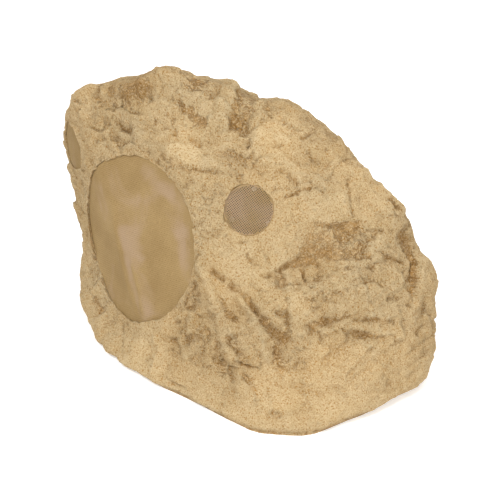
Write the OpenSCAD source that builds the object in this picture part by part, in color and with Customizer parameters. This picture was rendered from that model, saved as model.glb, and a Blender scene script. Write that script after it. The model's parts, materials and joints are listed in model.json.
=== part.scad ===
// Rock shaped garden speaker: a hollow moulded boulder with one large and two small drivers.
// The large driver faces -Y, the boulder rests on z = 0 and the origin is under its middle.

/* [Rock shell] */
// Width of the boulder, left to right
rock_w = 496; // [440:1:560]
// Depth of the boulder, front to back
rock_d = 334; // [300:1:400]
// Height of the boulder
rock_h = 330; // [290:1:390]
// Thickness of the moulded wall, measured towards the middle
rock_wall = 9; // [7:0.5:12]

/* [Base] */
// Thickness of the bottom plate
base_t = 5; // [3:0.5:8]
// Thickness of the foam gasket above the plate
base_gasket_t = 2; // [1:0.5:4]
// Width of the ledge that the plate is screwed to
ledge_w = 16; // [13:0.5:22]
// Thickness of that ledge
ledge_t = 5; // [4:0.5:8]
// Screws that hold the plate
base_screw_count = 8; // [6:1:12]

/* [Large driver] */
// Diameter of its opening in the boulder
woofer_opening_d = 197; // [190:0.5:204]
// Lean of its axis above level
woofer_tilt = 17.5; // [12:0.5:22]
// Depth of the mounting seat below the face
woofer_seat_depth = 56; // [52:0.5:66]
// Outer diameter of the driver's flange
woofer_flange_d = 192; // [188:0.5:194]
// Overall depth of the driver behind its seat
woofer_depth = 94; // [88:0.5:104]
// Outer diameter of the cone
woofer_cone_d = 152; // [146:0.5:154]
// Diameter of the coil former
woofer_coil_d = 38; // [34:0.5:42]
// Outer diameter of the magnet
woofer_magnet_d = 100; // [90:0.5:110]
// Thickness of the magnet
woofer_magnet_t = 18; // [14:0.5:22]
// Screws through the flange
woofer_screw_count = 4; // [4:1:8]

/* [Small drivers] */
// Diameter of each opening in the boulder
tweeter_opening_d = 59; // [56:0.5:62]
// Depth of the mounting seat below the face
tweeter_seat_depth = 22; // [21:0.5:26]
// Outer diameter of the face plate
tweeter_plate_d = 57; // [54:0.5:58]
// Diameter of the dome
tweeter_dome_d = 26; // [24:0.5:28]
// Screws through each face plate
tweeter_screw_count = 3; // [3:1:4]

/* [Grilles] */
// Thickness of the perforated sheet
grille_t = 1.6; // [1.2:0.1:2.4]
// Height of the large grille's folded rim
woofer_rim_h = 8; // [6:0.5:10]
// Height of a small grille's folded rim
tweeter_rim_h = 4; // [3:0.5:5]
// Depth of the sheet below the face of the boulder
grille_inset = 2; // [1:0.5:4]
// Gap between a grille and its opening
grille_gap = 0.4; // [0.2:0.1:0.8]
// Hole diameter in the large grille
woofer_hole_d = 9; // [6:0.5:11]
// Pitch of its holes
woofer_hole_pitch = 17.5; // [16:0.5:22]
// Hole diameter in a small grille
tweeter_hole_d = 3.8; // [3:0.1:4.2]
// Pitch of its holes
tweeter_hole_pitch = 6; // [5.4:0.1:8]

/* [Cable gland] */
// Height of the gland above the ground
gland_z = 44; // [40:0.5:60]
// Diameter of the gland's threaded stem
gland_stem_d = 16; // [12:0.5:20]
// Diameter of the hole that a cable goes through
gland_bore_d = 7; // [5:0.5:8]

/* [Crossover] */
// Length of the crossover board
board_l = 110; // [90:1:130]
// Width of the crossover board
board_w = 76; // [66:1:90]
// Thickness of the crossover board
board_t = 1.6; // [1.2:0.1:2.4]
// Height of the board above the bottom plate
board_lift = 8; // [6:0.5:12]

/* [Hidden] */
$fn = 64;
// Overrun of every cut past the face that it goes through
over = 1;
// Clearance between parts that are fitted by hand
fit = 0.3;

// Form of the boulder
// Width, depth and height of the form below, in its own unit
form_extent_share = [1.032, 0.694, 0.685];
// Where the middle of the form stands from the origin
form_centre_share = [0.0686, -0.0227];
// Crispness of the edges between the faces
edge_power = 60;
// Broken faces: bearing from the front, lean above level, distance from the middle
face_share = [
    [0, 17.5, 0.297], [-20, 1, 0.306], [-31, 0, 0.381], [-40, -14, 0.363], [-45, -7, 0.43],
    [-49, 0, 0.519], [-64, 23, 0.69], [-80, -20, 0.427], [-88, 8, 0.655],
    [30, 32, 0.335], [38, 8, 0.408], [62, 22, 0.396], [76, 3, 0.412],
    [84, 28, 0.45], [75, 46, 0.487], [62, 62, 0.546],
    [-10, 84, 0.708], [-75, 62, 0.767], [-85, 28, 0.742],
    [-119, 57.6, 0.677], [-167, 56, 0.567], [167, 44, 0.502], [158, 37, 0.458],
    [149, 27.5, 0.431], [143, 19, 0.423], [127, -7, 0.404],
    [180, 12, 0.358], [-150, 15, 0.417], [-115, -10, 0.425], [-165, 42, 0.492]];
// Bulges and hollows: bearing, rise, half width, half height, turn, height
bulge_share = [
    [-45, 3, 30, 9, 0, 0.067], [-78, 8, 14, 9, 0, 0.021], [0, 0, 60, 6, 0, 0.017],
    [55, 2, 40, 8, 0, 0.01],
    [65, 54, 12, 5, 8, -0.031], [70, 68, 8, 5, 0, 0.019], [72, 44, 14, 5, 0, 0.01],
    [14, 45, 18, 4, -55, 0.015], [32, 42, 18, 4, -40, -0.017], [44, 40, 6, 12, 0, 0.008],
    [-130, 82, 5, 4, 0, -0.025], [-95, 44, 9, 7, 0, 0.012],
    [112, 50, 7, 5, 0, 0.023], [116, 33, 7, 5, 0, 0.015]];
// Depth and rise of the rounded foot of the boulder
foot_share = 0.021;
foot_rise = 2;
// Heights of the coarse and the fine waves
rough_share = [0.006, 0.002];
// Size and height of the broken stone's facets, and how soft their borders are
facet_share = [0.125, 0.125, 0.1];
facet_height_share = 0.0125;
facet_blend = 0.35;
facet_step_share = 0.6;
// Start of the scattered numbers: another value breaks the stone another way
facet_start = 481;
// How far the facets bend, and how far they stay off the foot and the grilles
facet_bend_share = 0.02;
facet_foot_rise = 9;
facet_clear = 34;
// Steps of the outer and the inner skin, around and upwards
outer_steps = [96, 44];
inner_steps = [48, 20];

function total(v) = v * [for (i = v) 1];
function facing(bearing, lean) =
    [sin(bearing) * cos(lean), -cos(bearing) * cos(lean), sin(lean)];
function half_turn(a) = a - 360 * floor((a + 180) / 360);
function face_radius(u) =
    pow(total([for (f = face_share) pow(max(u * facing(f[0], f[1]) / f[2], 0), edge_power)]),
        -1 / edge_power);
function bulge(bearing, rise, b) =
    let (across = half_turn(bearing - b[0]) * cos(rise), up = rise - b[1],
        s = (across * cos(b[4]) + up * sin(b[4])) / b[2],
        t = (up * cos(b[4]) - across * sin(b[4])) / b[3])
    b[5] * exp(-s * s - t * t);
// Waves that run through the whole block, in turns per unit
function waves(p) =
    let (a = p * [1311, 513, -285], b = p * [-399, 1425, 627], c = p * [285, -456, 1539])
    (sin(a) + sin(b + 40 * sin(c)) + sin(c + 60 * sin(a))) / 3;
// Scattered numbers from 0 to 1, one for each cell and purpose
function scattered(cell, k) =
    let (h = 43758.5 * sin(cell * [744.3, 4482.4, 2161.1] + 131.7 * k + facet_start)) h - floor(h);
function facet_seed(cell) = cell + [for (k = [0:2]) 0.2 + 0.6 * scattered(cell, k)];
function facet_lean(cell) = [for (k = [3:5]) 2 * scattered(cell, k) - 1];
function bent(p) = p + facet_bend_share
    * [sin(p * [1500, 900, -600]), sin(p * [-700, 1300, 1100]), sin(p * [1000, -1200, 1700])];
// Broken stone: each cell is a tilted facet, and neighbours meet in a short slope
function facets(p) =
    let (q = [for (i = [0:2]) bent(p)[i] / facet_share[i]],
        near = [for (c = q) floor(c - 0.5)],
        found = [for (i = [0, 1]) for (j = [0, 1]) for (k = [0, 1])
            let (cell = near + [i, j, k], d = q - facet_seed(cell))
            [norm(d), d * facet_lean(cell) + facet_step_share * (scattered(cell, 6) - 0.5)]],
        first = min([for (f = found) f[0]]),
        second = min([for (f = found) if (f[0] > first) f[0]]),
        share = eased((second - first) / facet_blend) / 2 + 0.5,
        heights = [for (d = [first, second]) [for (f = found) if (f[0] == d) f[1]][0]])
    heights[0] * share + heights[1] * (1 - share);
function eased(t) = let (x = min(max(t, 0), 1)) x * x * (3 - 2 * x);
function form_radius(bearing, rise) =
    let (u = facing(bearing, rise))
    face_radius(u) + total([for (b = bulge_share) bulge(bearing, rise, b)]);
// The facets fade out towards the foot and around each opening
function facet_fade(bearing, rise) =
    let (p = form_point(bearing, rise))
    (1 - 0.6 * exp(-pow(rise / facet_foot_rise, 2)))
        * eased((norm(p - woofer_place[0]) - woofer_opening_d / 2) / facet_clear)
        * eased((norm(p - left_place[0]) - tweeter_opening_d / 2) / facet_clear)
        * eased((norm(p - right_place[0]) - tweeter_opening_d / 2) / facet_clear);
function rough_radius(bearing, rise) =
    let (u = facing(bearing, rise), r = form_radius(bearing, rise), p = u * face_radius(u))
    r - foot_share * exp(-pow(rise / foot_rise, 2))
        + rough_share[0] * waves(p) + rough_share[1] * waves(p * 2.3)
        + facet_height_share * facet_fade(bearing, rise) * facets(p);

form_scale = [rock_w / form_extent_share[0], rock_d / form_extent_share[1],
    rock_h / form_extent_share[2]];
form_centre = [form_centre_share[0] * rock_w, form_centre_share[1] * rock_d, 0];
function scaled(p) = [p[0] * form_scale[0], p[1] * form_scale[1], p[2] * form_scale[2]];
function unscaled(p) = [p[0] / form_scale[0], p[1] / form_scale[1], p[2] / form_scale[2]];
function skin_point(bearing, rise) =
    form_centre + scaled(facing(bearing, rise) * rough_radius(bearing, rise));
// A point of the smooth form, moved towards the middle by a depth
function form_point(bearing, rise, depth = 0) =
    let (v = scaled(facing(bearing, rise) * form_radius(bearing, rise)))
    form_centre + v * (1 - depth / norm(v));
function is_outside(p) =
    let (q = unscaled(p - form_centre))
    norm(q) > form_radius(atan2(q[0], -q[1]), atan2(q[2], norm([q[0], q[1]])));

// A driver's place is [point on the face, bearing, lean], and its own z runs outwards
function place_point(place, x, y, z) =
    let (out = facing(place[1], place[2]), side = [cos(place[1]), sin(place[1]), 0])
    place[0] + side * x + cross(out, side) * y + out * z;
// Height of the smooth face over a driver's own plane, found by halving
function face_height(place, x, y, low, high, steps = 11) =
    steps == 0 ? (low + high) / 2 :
    let (middle = (low + high) / 2)
    is_outside(place_point(place, x, y, middle))
        ? face_height(place, x, y, low, middle, steps - 1)
        : face_height(place, x, y, middle, high, steps - 1);
module at_place(place) translate(place[0]) rotate([90 - place[2], 0, place[1]]) children();

woofer_place = [form_point(-44.8, 43.1), 0, woofer_tilt];
left_place = [form_point(-75.5, 38), -33, 14];
right_place = [form_point(28.5, 73.4), 28, 32];

// Skin of a block from rings of points, closed by a flat foot and a tip
function ring_faces(rows, n, flip = false) =
    [for (i = [0:rows - 2]) for (j = [0:n - 1])
        let (a = i * n + j, b = i * n + (j + 1) % n, c = a + n, d = b + n)
        each flip ? [[a, d, c], [a, b, d]] : [[a, c, d], [a, d, b]]];
function tip_faces(start, n, tip, flip = false) =
    [for (j = [0:n - 1])
        let (a = start + j, b = start + (j + 1) % n)
        flip ? [a, b, tip] : [a, tip, b]];
function shifted(faces, by) = [for (f = faces) [for (i = f) i + by]];

outer_n = outer_steps[0];
inner_n = inner_steps[0];
outer_count = outer_n * outer_steps[1] + 1;
function outer_points() = concat(
    [for (i = [0:outer_steps[1] - 1]) for (j = [0:outer_n - 1])
        skin_point(360 * j / outer_n, 90 * i / outer_steps[1])],
    [skin_point(0, 90)]);
inner_points = concat(
    [for (i = [0:inner_steps[1] - 1]) for (j = [0:inner_n - 1])
        form_point(360 * j / inner_n, 90 * i / inner_steps[1], wall_at(90 * i / inner_steps[1]))],
    [form_point(0, 90, rock_wall)]);
// The inner skin also clears the rounded foot
function wall_at(rise) = rock_wall + foot_share * form_scale[0] * exp(-pow(rise / foot_rise, 2));
outer_tip = outer_count - 1;
inner_tip = outer_count + len(inner_points) - 1;
foot_faces = [for (j = [0:inner_n - 1])
    let (a = 2 * j, b = a + 1, c = (a + 2) % outer_n,
        p = outer_count + j, q = outer_count + (j + 1) % inner_n)
    each [[a, b, p], [b, q, p], [b, c, q]]];

module rock_skin() polyhedron(concat(outer_points(), inner_points), concat(
    ring_faces(outer_steps[1], outer_n),
    tip_faces((outer_steps[1] - 1) * outer_n, outer_n, outer_tip),
    shifted(ring_faces(inner_steps[1], inner_n, true), outer_count),
    tip_faces(outer_count + (inner_steps[1] - 1) * inner_n, inner_n, inner_tip, true),
    foot_faces));

// Collar of a driver: a ring from behind its seat up into the wall, which follows the face
collar_t = 6;
collar_bury = 4;
collar_steps = 48;
module collar(place, opening_d, seat_depth, seat_t, low, high) {
    r = opening_d / 2 + collar_t;
    n = collar_steps;
    polyhedron(concat(
        [for (j = [0:n - 1]) [r * cos(360 * j / n), r * sin(360 * j / n), -seat_depth - seat_t]],
        [for (j = [0:n - 1])
            let (x = r * cos(360 * j / n), y = r * sin(360 * j / n))
            [x, y, face_height(place, x, y, low, high) - collar_bury]]),
        concat([for (j = [0:n - 1]) [j, j + n, (j + 1) % n + n, (j + 1) % n]],
            [[for (j = [0:n - 1]) j], [for (j = [n - 1:-1:0]) j + n]]));
}

woofer_seat_t = 8;
woofer_lap = 9;
woofer_cutout_d = woofer_flange_d - 2 * woofer_lap;
woofer_reach = [-60, 20];
tweeter_seat_t = 6;
tweeter_lap = 8.5;
tweeter_cutout_d = tweeter_plate_d - 2 * tweeter_lap;
tweeter_reach = [-40, 20];

woofer_pilot_l = 7;
tweeter_pilot_l = 5.2;
screw_fit = 0.1;

module driver_cut(opening_d, cutout_d, seat_depth, seat_t, high) {
    translate([0, 0, -seat_depth]) cylinder(d = opening_d, h = seat_depth + high);
    translate([0, 0, -seat_depth - seat_t - over])
        cylinder(d = cutout_d, h = seat_t + 2 * over);
}

// Outline of the inner skin at the foot, pulled in by a width
function foot_point(j, inset) =
    let (p = inner_points[j] - form_centre, s = 1 - inset / norm(p))
    [form_centre[0] + p[0] * s, form_centre[1] + p[1] * s];
module foot_outline(inset) polygon([for (j = [0:inner_n - 1]) foot_point(j, inset)]);
ledge_z = base_t + base_gasket_t;
base_screw_d = 4;
base_boss_d = 12;
base_boss_h = 18;
base_pilot_l = 15;
base_screw_inset = ledge_w / 2 + fit;
ledge_bury = 0.8 * rock_wall;
module at_base_screws() for (i = [0:base_screw_count - 1]) {
    p = foot_point(floor((i + 0.5) * inner_n / base_screw_count), base_screw_inset);
    translate([p[0], p[1], 0]) children();
}

// Back wall at the gland's height, and the round recess that holds the gland
gland_seat_d = 38;
gland_cup_wall = 3;
gland_boss_d = gland_seat_d + 2 * gland_cup_wall;
gland_seat_inset = 17;
gland_cup_bury = 4;
gland_bearing = 180;
gland_rise = atan2(gland_z, norm(form_point(gland_bearing, 0) - form_centre));
gland_face = form_point(gland_bearing, gland_rise);
gland_seat_y = gland_face[1] - gland_seat_inset;
gland_wall_t = 6;
module at_gland() translate([gland_face[0], gland_seat_y, gland_z]) rotate([-90, 0, 0]) children();

module rock_shell() color([0.75, 0.64, 0.48]) difference() {
    union() {
        rock_skin();
        at_place(woofer_place) collar(woofer_place, woofer_opening_d, woofer_seat_depth,
            woofer_seat_t, woofer_reach[0], woofer_reach[1]);
        for (place = [left_place, right_place])
            at_place(place) collar(place, tweeter_opening_d, tweeter_seat_depth,
                tweeter_seat_t, tweeter_reach[0], tweeter_reach[1]);
        translate([0, 0, ledge_z]) linear_extrude(ledge_t) difference() {
            foot_outline(-ledge_bury);
            foot_outline(ledge_w);
        }
        at_base_screws() translate([0, 0, ledge_z]) cylinder(d = base_boss_d, h = base_boss_h);
        at_gland() translate([0, 0, -gland_wall_t])
            cylinder(d = gland_boss_d, h = gland_wall_t + gland_seat_inset - gland_cup_bury);
    }
    at_place(woofer_place) driver_cut(woofer_opening_d, woofer_cutout_d, woofer_seat_depth,
        woofer_seat_t, woofer_reach[1]);
    for (place = [left_place, right_place])
        at_place(place) driver_cut(tweeter_opening_d, tweeter_cutout_d, tweeter_seat_depth,
            tweeter_seat_t, tweeter_reach[1]);
    at_base_screws() translate([0, 0, ledge_z - over])
        cylinder(d = base_screw_d - fit, h = base_pilot_l + over);
    at_woofer() around(woofer_screw_count, woofer_screw_r, 45) translate([0, 0, -woofer_pilot_l])
        cylinder(d = woofer_screw_d + screw_fit, h = woofer_pilot_l + over);
    for (place = [left_place, right_place])
        at_tweeter(place) around(tweeter_screw_count, tweeter_screw_r, 90)
            translate([0, 0, -tweeter_pilot_l])
                cylinder(d = tweeter_screw_d + screw_fit, h = tweeter_pilot_l + over);
    at_gland() {
        cylinder(d = gland_seat_d, h = gland_seat_inset + rock_wall);
        translate([0, 0, -gland_wall_t - over])
            cylinder(d = gland_stem_d + 2 * fit, h = gland_wall_t + 2 * over);
    }
}

// A ring between two radii, with its foot at z
module ring(outer_d, inner_d, h, z = 0) translate([0, 0, z]) difference() {
    cylinder(d = outer_d, h = h);
    translate([0, 0, -over]) cylinder(d = inner_d, h = h + 2 * over);
}
// A turned part from a profile of [radius, height]
module turned(profile) rotate_extrude() polygon(profile);
module around(count, r, start = 0) for (i = [0:count - 1])
    rotate(start + 360 * i / count) translate([r, 0, 0]) children();
// A pan head screw that points down, with its head resting on z = 0 and a cross recess
module pan_screw(d, length) {
    head_d = 1.9 * d;
    head_h = 0.6 * d;
    slot_w = 0.28 * d;
    difference() {
        turned([[0, -length], [0.35 * d, -length], [d / 2, -length + 0.4 * d], [d / 2, 0],
            [head_d / 2, 0], [head_d / 2, 0.5 * head_h], [0.3 * head_d, head_h], [0, head_h]]);
        for (a = [0, 90]) rotate(a) translate([-0.3 * head_d, -slot_w / 2, 0.4 * head_h])
            cube([0.6 * head_d, slot_w, head_h]);
    }
}

// Base
base_fit = 0.5;
base_rib_count = 5;
rib_t = 3;
rib_h = 5;
rib_pitch_share = 0.15;
base_sink = 2.6;
module base_plate() color([0.16, 0.16, 0.16]) difference() {
    union() {
        linear_extrude(base_t) foot_outline(base_fit);
        intersection() {
            translate([0, 0, base_t]) for (i = [0:base_rib_count - 1])
                translate([(i - (base_rib_count - 1) / 2) * rock_w * rib_pitch_share - rib_t / 2,
                    -rock_d / 2, 0])
                    cube([rib_t, rock_d, rib_h]);
            linear_extrude(base_t + rib_h) foot_outline(ledge_w + 2 * base_fit);
        }
    }
    at_base_screws() {
        translate([0, 0, -over]) cylinder(d = base_screw_d + 2 * fit, h = base_t + 2 * over);
        translate([0, 0, -over]) cylinder(d = 2.2 * base_screw_d, h = base_sink + over);
    }
}
module base_gasket() color([0.1, 0.1, 0.1]) translate([0, 0, base_t]) difference() {
    linear_extrude(base_gasket_t) difference() {
        foot_outline(base_fit);
        foot_outline(ledge_w);
    }
    at_base_screws() translate([0, 0, -over])
        cylinder(d = base_screw_d + 2 * fit, h = base_gasket_t + 2 * over);
}
base_screw_l = 16;
module base_screws() color([0.55, 0.56, 0.58]) at_base_screws()
    translate([0, 0, base_sink]) rotate([180, 0, 0]) pan_screw(base_screw_d - fit - screw_fit, base_screw_l);

// Cable gland: heights run outwards from its seat on the wall
gland_hex_w = 22;
gland_collar_t = 5;
gland_tube_l = 13;
gland_stem_out = 9;
gland_stem_l = gland_wall_t + gland_stem_out;
gland_tube_wall = 1.5;
gland_seal_l = 8;
gland_seal_lip = 1.5;
gland_cap_d = 23;
gland_cap_h = 14.5;
gland_cap_taper = 4;
gland_cap_mouth = 3.5;
gland_cap_rib_r = 1;
gland_cap_ribs = 12;
gland_locknut_t = 5;
gland_end = gland_collar_t + gland_tube_l;
gland_cap_gap = 2;
gland_seal_out = 1;
gland_cap_z = gland_collar_t + gland_cap_gap;
module gland_body() color([0.12, 0.12, 0.13]) at_gland() difference() {
    union() {
        cylinder(d = gland_hex_w / cos(30), h = gland_collar_t, $fn = 6);
        translate([0, 0, -gland_stem_l]) cylinder(d = gland_stem_d, h = gland_stem_l + gland_end);
    }
    translate([0, 0, -gland_stem_l - over])
        cylinder(d = gland_bore_d + 2 * gland_tube_wall, h = gland_stem_l + gland_end + 2 * over);
    translate([0, 0, gland_end - gland_seal_l])
        cylinder(d = gland_stem_d - 2 * gland_tube_wall, h = gland_seal_l + over);
}
gland_seal_r = gland_stem_d / 2 - gland_tube_wall - fit / 3;
module gland_seal() color([0.05, 0.05, 0.05]) at_gland()
    translate([0, 0, gland_end - gland_seal_l]) difference() {
        turned([[0, 0], [gland_seal_r, 0], [gland_seal_r, gland_seal_l - gland_seal_out],
            [gland_seal_r - gland_seal_lip, gland_seal_l + gland_seal_out],
            [0, gland_seal_l + gland_seal_out]]);
        translate([0, 0, -over])
            cylinder(d = gland_bore_d, h = gland_seal_l + gland_seal_out + 2 * over);
    }
module gland_cap() color([0.12, 0.12, 0.13]) at_gland() translate([0, 0, gland_cap_z])
    difference() {
        union() {
            turned([[0, 0], [gland_cap_d / 2, 0], [gland_cap_d / 2, gland_cap_h - gland_cap_taper],
                [gland_cap_d / 2 - gland_cap_taper, gland_cap_h], [0, gland_cap_h]]);
            around(gland_cap_ribs, gland_cap_d / 2 - gland_cap_rib_r / 2)
                cylinder(r = gland_cap_rib_r, h = gland_cap_h - gland_cap_taper, $fn = 16);
        }
        translate([0, 0, -over])
            cylinder(d = gland_stem_d + fit, h = gland_end - gland_cap_z + gland_seal_out + over + fit);
        cylinder(d = gland_bore_d + gland_cap_mouth, h = gland_cap_h + over);
    }
module gland_locknut() color([0.12, 0.12, 0.13]) at_gland()
    translate([0, 0, -gland_wall_t - gland_locknut_t]) difference() {
        cylinder(d = gland_hex_w / cos(30), h = gland_locknut_t, $fn = 6);
        translate([0, 0, -over])
            cylinder(d = gland_stem_d + fit / 3, h = gland_locknut_t + 2 * over);
    }

// Grilles: a perforated sheet that follows the face of the boulder, with a folded rim
grille_rings = 7;
grille_steps = 36;
module grille(place, opening_d, reach, rim_h, hole_d, pitch, turn) {
    r = opening_d / 2 - grille_gap;
    n = grille_steps;
    m = grille_rings;
    sheet = [for (i = [1:m]) r * i / m];
    radii = concat(sheet, [r, r - grille_t], [for (i = [m:-1:2]) i == m ? r - grille_t : sheet[i - 1]],
        [sheet[0]]);
    drops = concat([for (i = [1:m]) 0], [rim_h, rim_h], [for (i = [m:-1:1]) grille_t]);
    rows = len(radii);
    points = [for (i = [0:rows - 1]) for (j = [0:n - 1])
        let (a = 360 * j / n, x = radii[i] * cos(a), y = radii[i] * sin(a))
        [x, y, face_height(place, x, y, reach[0], reach[1]) - grille_inset - drops[i]]];
    middle = face_height(place, 0, 0, reach[0], reach[1]) - grille_inset;
    count = len(points);
    holes = floor(r / pitch) + 1;
    difference() {
        polyhedron(concat(points, [[0, 0, middle], [0, 0, middle - grille_t]]), concat(
            ring_faces(rows, n, true),
            tip_faces(0, n, count),
            tip_faces((rows - 1) * n, n, count + 1, true)));
        rotate(turn) for (i = [-holes:holes]) for (j = [-holes:holes]) {
            x = (i + (j % 2) / 2) * pitch;
            y = j * pitch * sin(60);
            if (norm([x, y]) < r - grille_t - hole_d)
                translate([x, y, reach[0]]) cylinder(d = hole_d, h = reach[1] - reach[0] + over);
        }
    }
}

// Large driver: heights run outwards from its seat
module at_woofer() at_place(woofer_place) translate([0, 0, -woofer_seat_depth]) children();
woofer_gasket_t = 1.5;
basket_t = 1.5;
basket_fit = 1;
basket_bowl_h = 9;
shelf_share = 0.64;
shelf_d = 126;
shelf_w = 13;
basket_windows = 6;
basket_window_w = 44;
basket_window_rim = 3;
top_plate_t = 6;
back_plate_t = 6;
plate_inset = 5;
woofer_flange_z = woofer_gasket_t + basket_t;
woofer_back_z = -woofer_depth;
magnet_z = woofer_back_z + back_plate_t;
top_plate_z = magnet_z + woofer_magnet_t;
basket_rear_z = top_plate_z + top_plate_t;
shelf_z = basket_rear_z * shelf_share;
bowl_r = woofer_cutout_d / 2 - basket_fit;
coil_r = woofer_coil_d / 2;
former_t = 0.35;
winding_t = 1.2;
winding_h = 14;
coil_gap = 0.8;
coil_outer_r = coil_r + former_t + winding_t;
cone_r = woofer_cone_d / 2;
cone_t = 1;
cone_lip = 3.5;
cone_neck_z = -32;
cone_curve = 0.8;
cone_top_z = woofer_flange_z;
surround_t = 0.8;
surround_lip = 3;
surround_gap = 0.2;
neck_gap = 0.1;
spider_t = 0.7;
spider_wave = 1.4;
spider_waves = 4;
spider_flat = 4;
cap_r = 27;
cap_rise = 9;
cap_t = 0.8;
woofer_screw_d = 3.5;
woofer_screw_l = 9;
woofer_screw_edge = 3.8;
woofer_screw_r = woofer_flange_d / 2 - woofer_screw_edge;
roll_end_r = bowl_r - basket_t + surround_gap;

module woofer_grille() color([0.70, 0.58, 0.40]) at_place(woofer_place)
    grille(woofer_place, woofer_opening_d, woofer_reach, woofer_rim_h, woofer_hole_d,
        woofer_hole_pitch, 0);
module woofer_holes(d, z, h) at_woofer() around(woofer_screw_count, woofer_screw_r, 45)
    translate([0, 0, z]) cylinder(d = d, h = h);
module woofer_gasket() color([0.08, 0.08, 0.08]) difference() {
    at_woofer() ring(woofer_flange_d, woofer_cutout_d, woofer_gasket_t);
    woofer_holes(woofer_screw_d + 2 * fit, -over, woofer_gasket_t + 2 * over);
}
module woofer_basket() color([0.15, 0.15, 0.16]) difference() {
    at_woofer() difference() {
        turned([
            [woofer_flange_d / 2, woofer_gasket_t], [woofer_flange_d / 2, woofer_flange_z],
            [bowl_r - basket_t, woofer_flange_z], [bowl_r - basket_t, -basket_bowl_h],
            [shelf_d / 2 - basket_t, shelf_z + basket_t], [shelf_d / 2 - shelf_w, shelf_z + basket_t],
            [woofer_magnet_d / 2 - plate_inset - basket_t, basket_rear_z + basket_t],
            [coil_outer_r + 2 * coil_gap, basket_rear_z + basket_t],
            [coil_outer_r + 2 * coil_gap, basket_rear_z], [woofer_magnet_d / 2 - plate_inset, basket_rear_z],
            [shelf_d / 2 - shelf_w + basket_t, shelf_z], [shelf_d / 2, shelf_z],
            [bowl_r, -basket_bowl_h - basket_t], [bowl_r, woofer_gasket_t]]);
        around(basket_windows, shelf_d / 2 + basket_window_rim, 30)
            translate([0, -basket_window_w / 2, shelf_z])
            cube([bowl_r, basket_window_w, -shelf_z - basket_bowl_h - basket_window_rim]);
    }
    woofer_holes(woofer_screw_d + 2 * fit, -over, woofer_flange_z + 2 * over);
}
module woofer_surround() color([0.06, 0.06, 0.06]) at_woofer() rotate_extrude() {
    middle = (cone_r + roll_end_r) / 2;
    roll_r = (roll_end_r - cone_r) / 2;
    translate([cone_r - cone_lip, cone_top_z]) square([cone_lip, surround_t]);
    translate([roll_end_r, cone_top_z]) square([surround_lip, surround_t]);
    translate([middle, cone_top_z]) intersection() {
        difference() {
            circle(r = roll_r + surround_t);
            circle(r = roll_r);
        }
        translate([-2 * roll_r, 0]) square(4 * roll_r);
    }
}
// The cone is a shallow trumpet between its neck and its lip
cone_steps = 12;
cone_neck_r = coil_r + former_t + neck_gap;
function cone_point(t, lift) = [cone_neck_r + (cone_r - cone_lip - cone_neck_r) * t,
    cone_neck_z + (cone_top_z - cone_t - cone_neck_z) * pow(t, cone_curve) + lift];
module woofer_cone() color([0.10, 0.10, 0.11]) at_woofer() turned(concat(
    [for (i = [0:cone_steps]) cone_point(i / cone_steps, 0)],
    [[cone_r, cone_top_z - cone_t], [cone_r, cone_top_z]],
    [for (i = [cone_steps:-1:0]) cone_point(i / cone_steps, cone_t)]));
cap_t_share = (cap_r - cone_neck_r) / (cone_r - cone_lip - cone_neck_r);
cap_z = cone_point(cap_t_share, cone_t)[1] + surround_gap;
cap_steps = 10;
function dome_profile(r, rise, t, z, n) = concat(
    [for (i = [0:n]) let (a = 90 * i / n) [r * sin(a), z + rise * cos(a)]],
    [for (i = [n:-1:0]) let (a = 90 * i / n) [(r - t) * sin(a), z + (rise - t) * cos(a)]]);
module woofer_dust_cap() color([0.07, 0.07, 0.07]) at_woofer()
    turned(dome_profile(cap_r, cap_rise, cap_t, cap_z, cap_steps));
coil_middle = top_plate_z + top_plate_t / 2;
former_tail = 2;
former_end = coil_middle - winding_h / 2 - former_tail;
module woofer_voice_coil() color([0.72, 0.42, 0.18]) at_woofer() turned([
    [coil_r, former_end], [coil_r + former_t, former_end],
    [coil_r + former_t, coil_middle - winding_h / 2], [coil_outer_r, coil_middle - winding_h / 2],
    [coil_outer_r, coil_middle + winding_h / 2], [coil_r + former_t, coil_middle + winding_h / 2],
    [coil_r + former_t, cone_neck_z + 2 * cone_t], [coil_r, cone_neck_z + 2 * cone_t]]);
// The spider's waves run between two flat lips
spider_z = shelf_z + basket_t;
spider_in = coil_r + former_t + neck_gap;
spider_out = shelf_d / 2 - basket_t - surround_gap;
spider_steps = 8 * spider_waves;
spider_wave_in = spider_in + spider_flat;
spider_wave_out = shelf_d / 2 - shelf_w;
function spider_point(i, lift) = let (t = i / spider_steps)
    [spider_wave_in + (spider_wave_out - spider_wave_in) * t,
        spider_z + lift + spider_wave * sin(360 * spider_waves * t)];
module woofer_spider() color([0.80, 0.66, 0.35]) at_woofer() turned(concat(
    [[spider_in, spider_z]], [for (i = [0:spider_steps]) spider_point(i, 0)], [[spider_out, spider_z]],
    [[spider_out, spider_z + spider_t]], [for (i = [spider_steps:-1:0]) spider_point(i, spider_t)],
    [[spider_in, spider_z + spider_t]]));
module woofer_top_plate() color([0.62, 0.62, 0.60]) at_woofer()
    ring(woofer_magnet_d - 2 * plate_inset, 2 * (coil_outer_r + coil_gap), top_plate_t, top_plate_z);
module woofer_magnet() color([0.13, 0.13, 0.14]) at_woofer()
    ring(woofer_magnet_d, 2 * (coil_outer_r + magnet_gap), woofer_magnet_t, magnet_z);
magnet_gap = 4;
pole_vent_r = 5;
pole_edge = 1.5;
module woofer_pole_piece() color([0.62, 0.62, 0.60]) at_woofer() turned([
    [pole_vent_r, woofer_back_z], [woofer_magnet_d / 2 - plate_inset - pole_edge, woofer_back_z],
    [woofer_magnet_d / 2 - plate_inset, woofer_back_z + pole_edge],
    [woofer_magnet_d / 2 - plate_inset, magnet_z], [coil_r - coil_gap, magnet_z],
    [coil_r - coil_gap, basket_rear_z], [pole_vent_r + pole_edge, basket_rear_z],
    [pole_vent_r, basket_rear_z - pole_edge]]);
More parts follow.
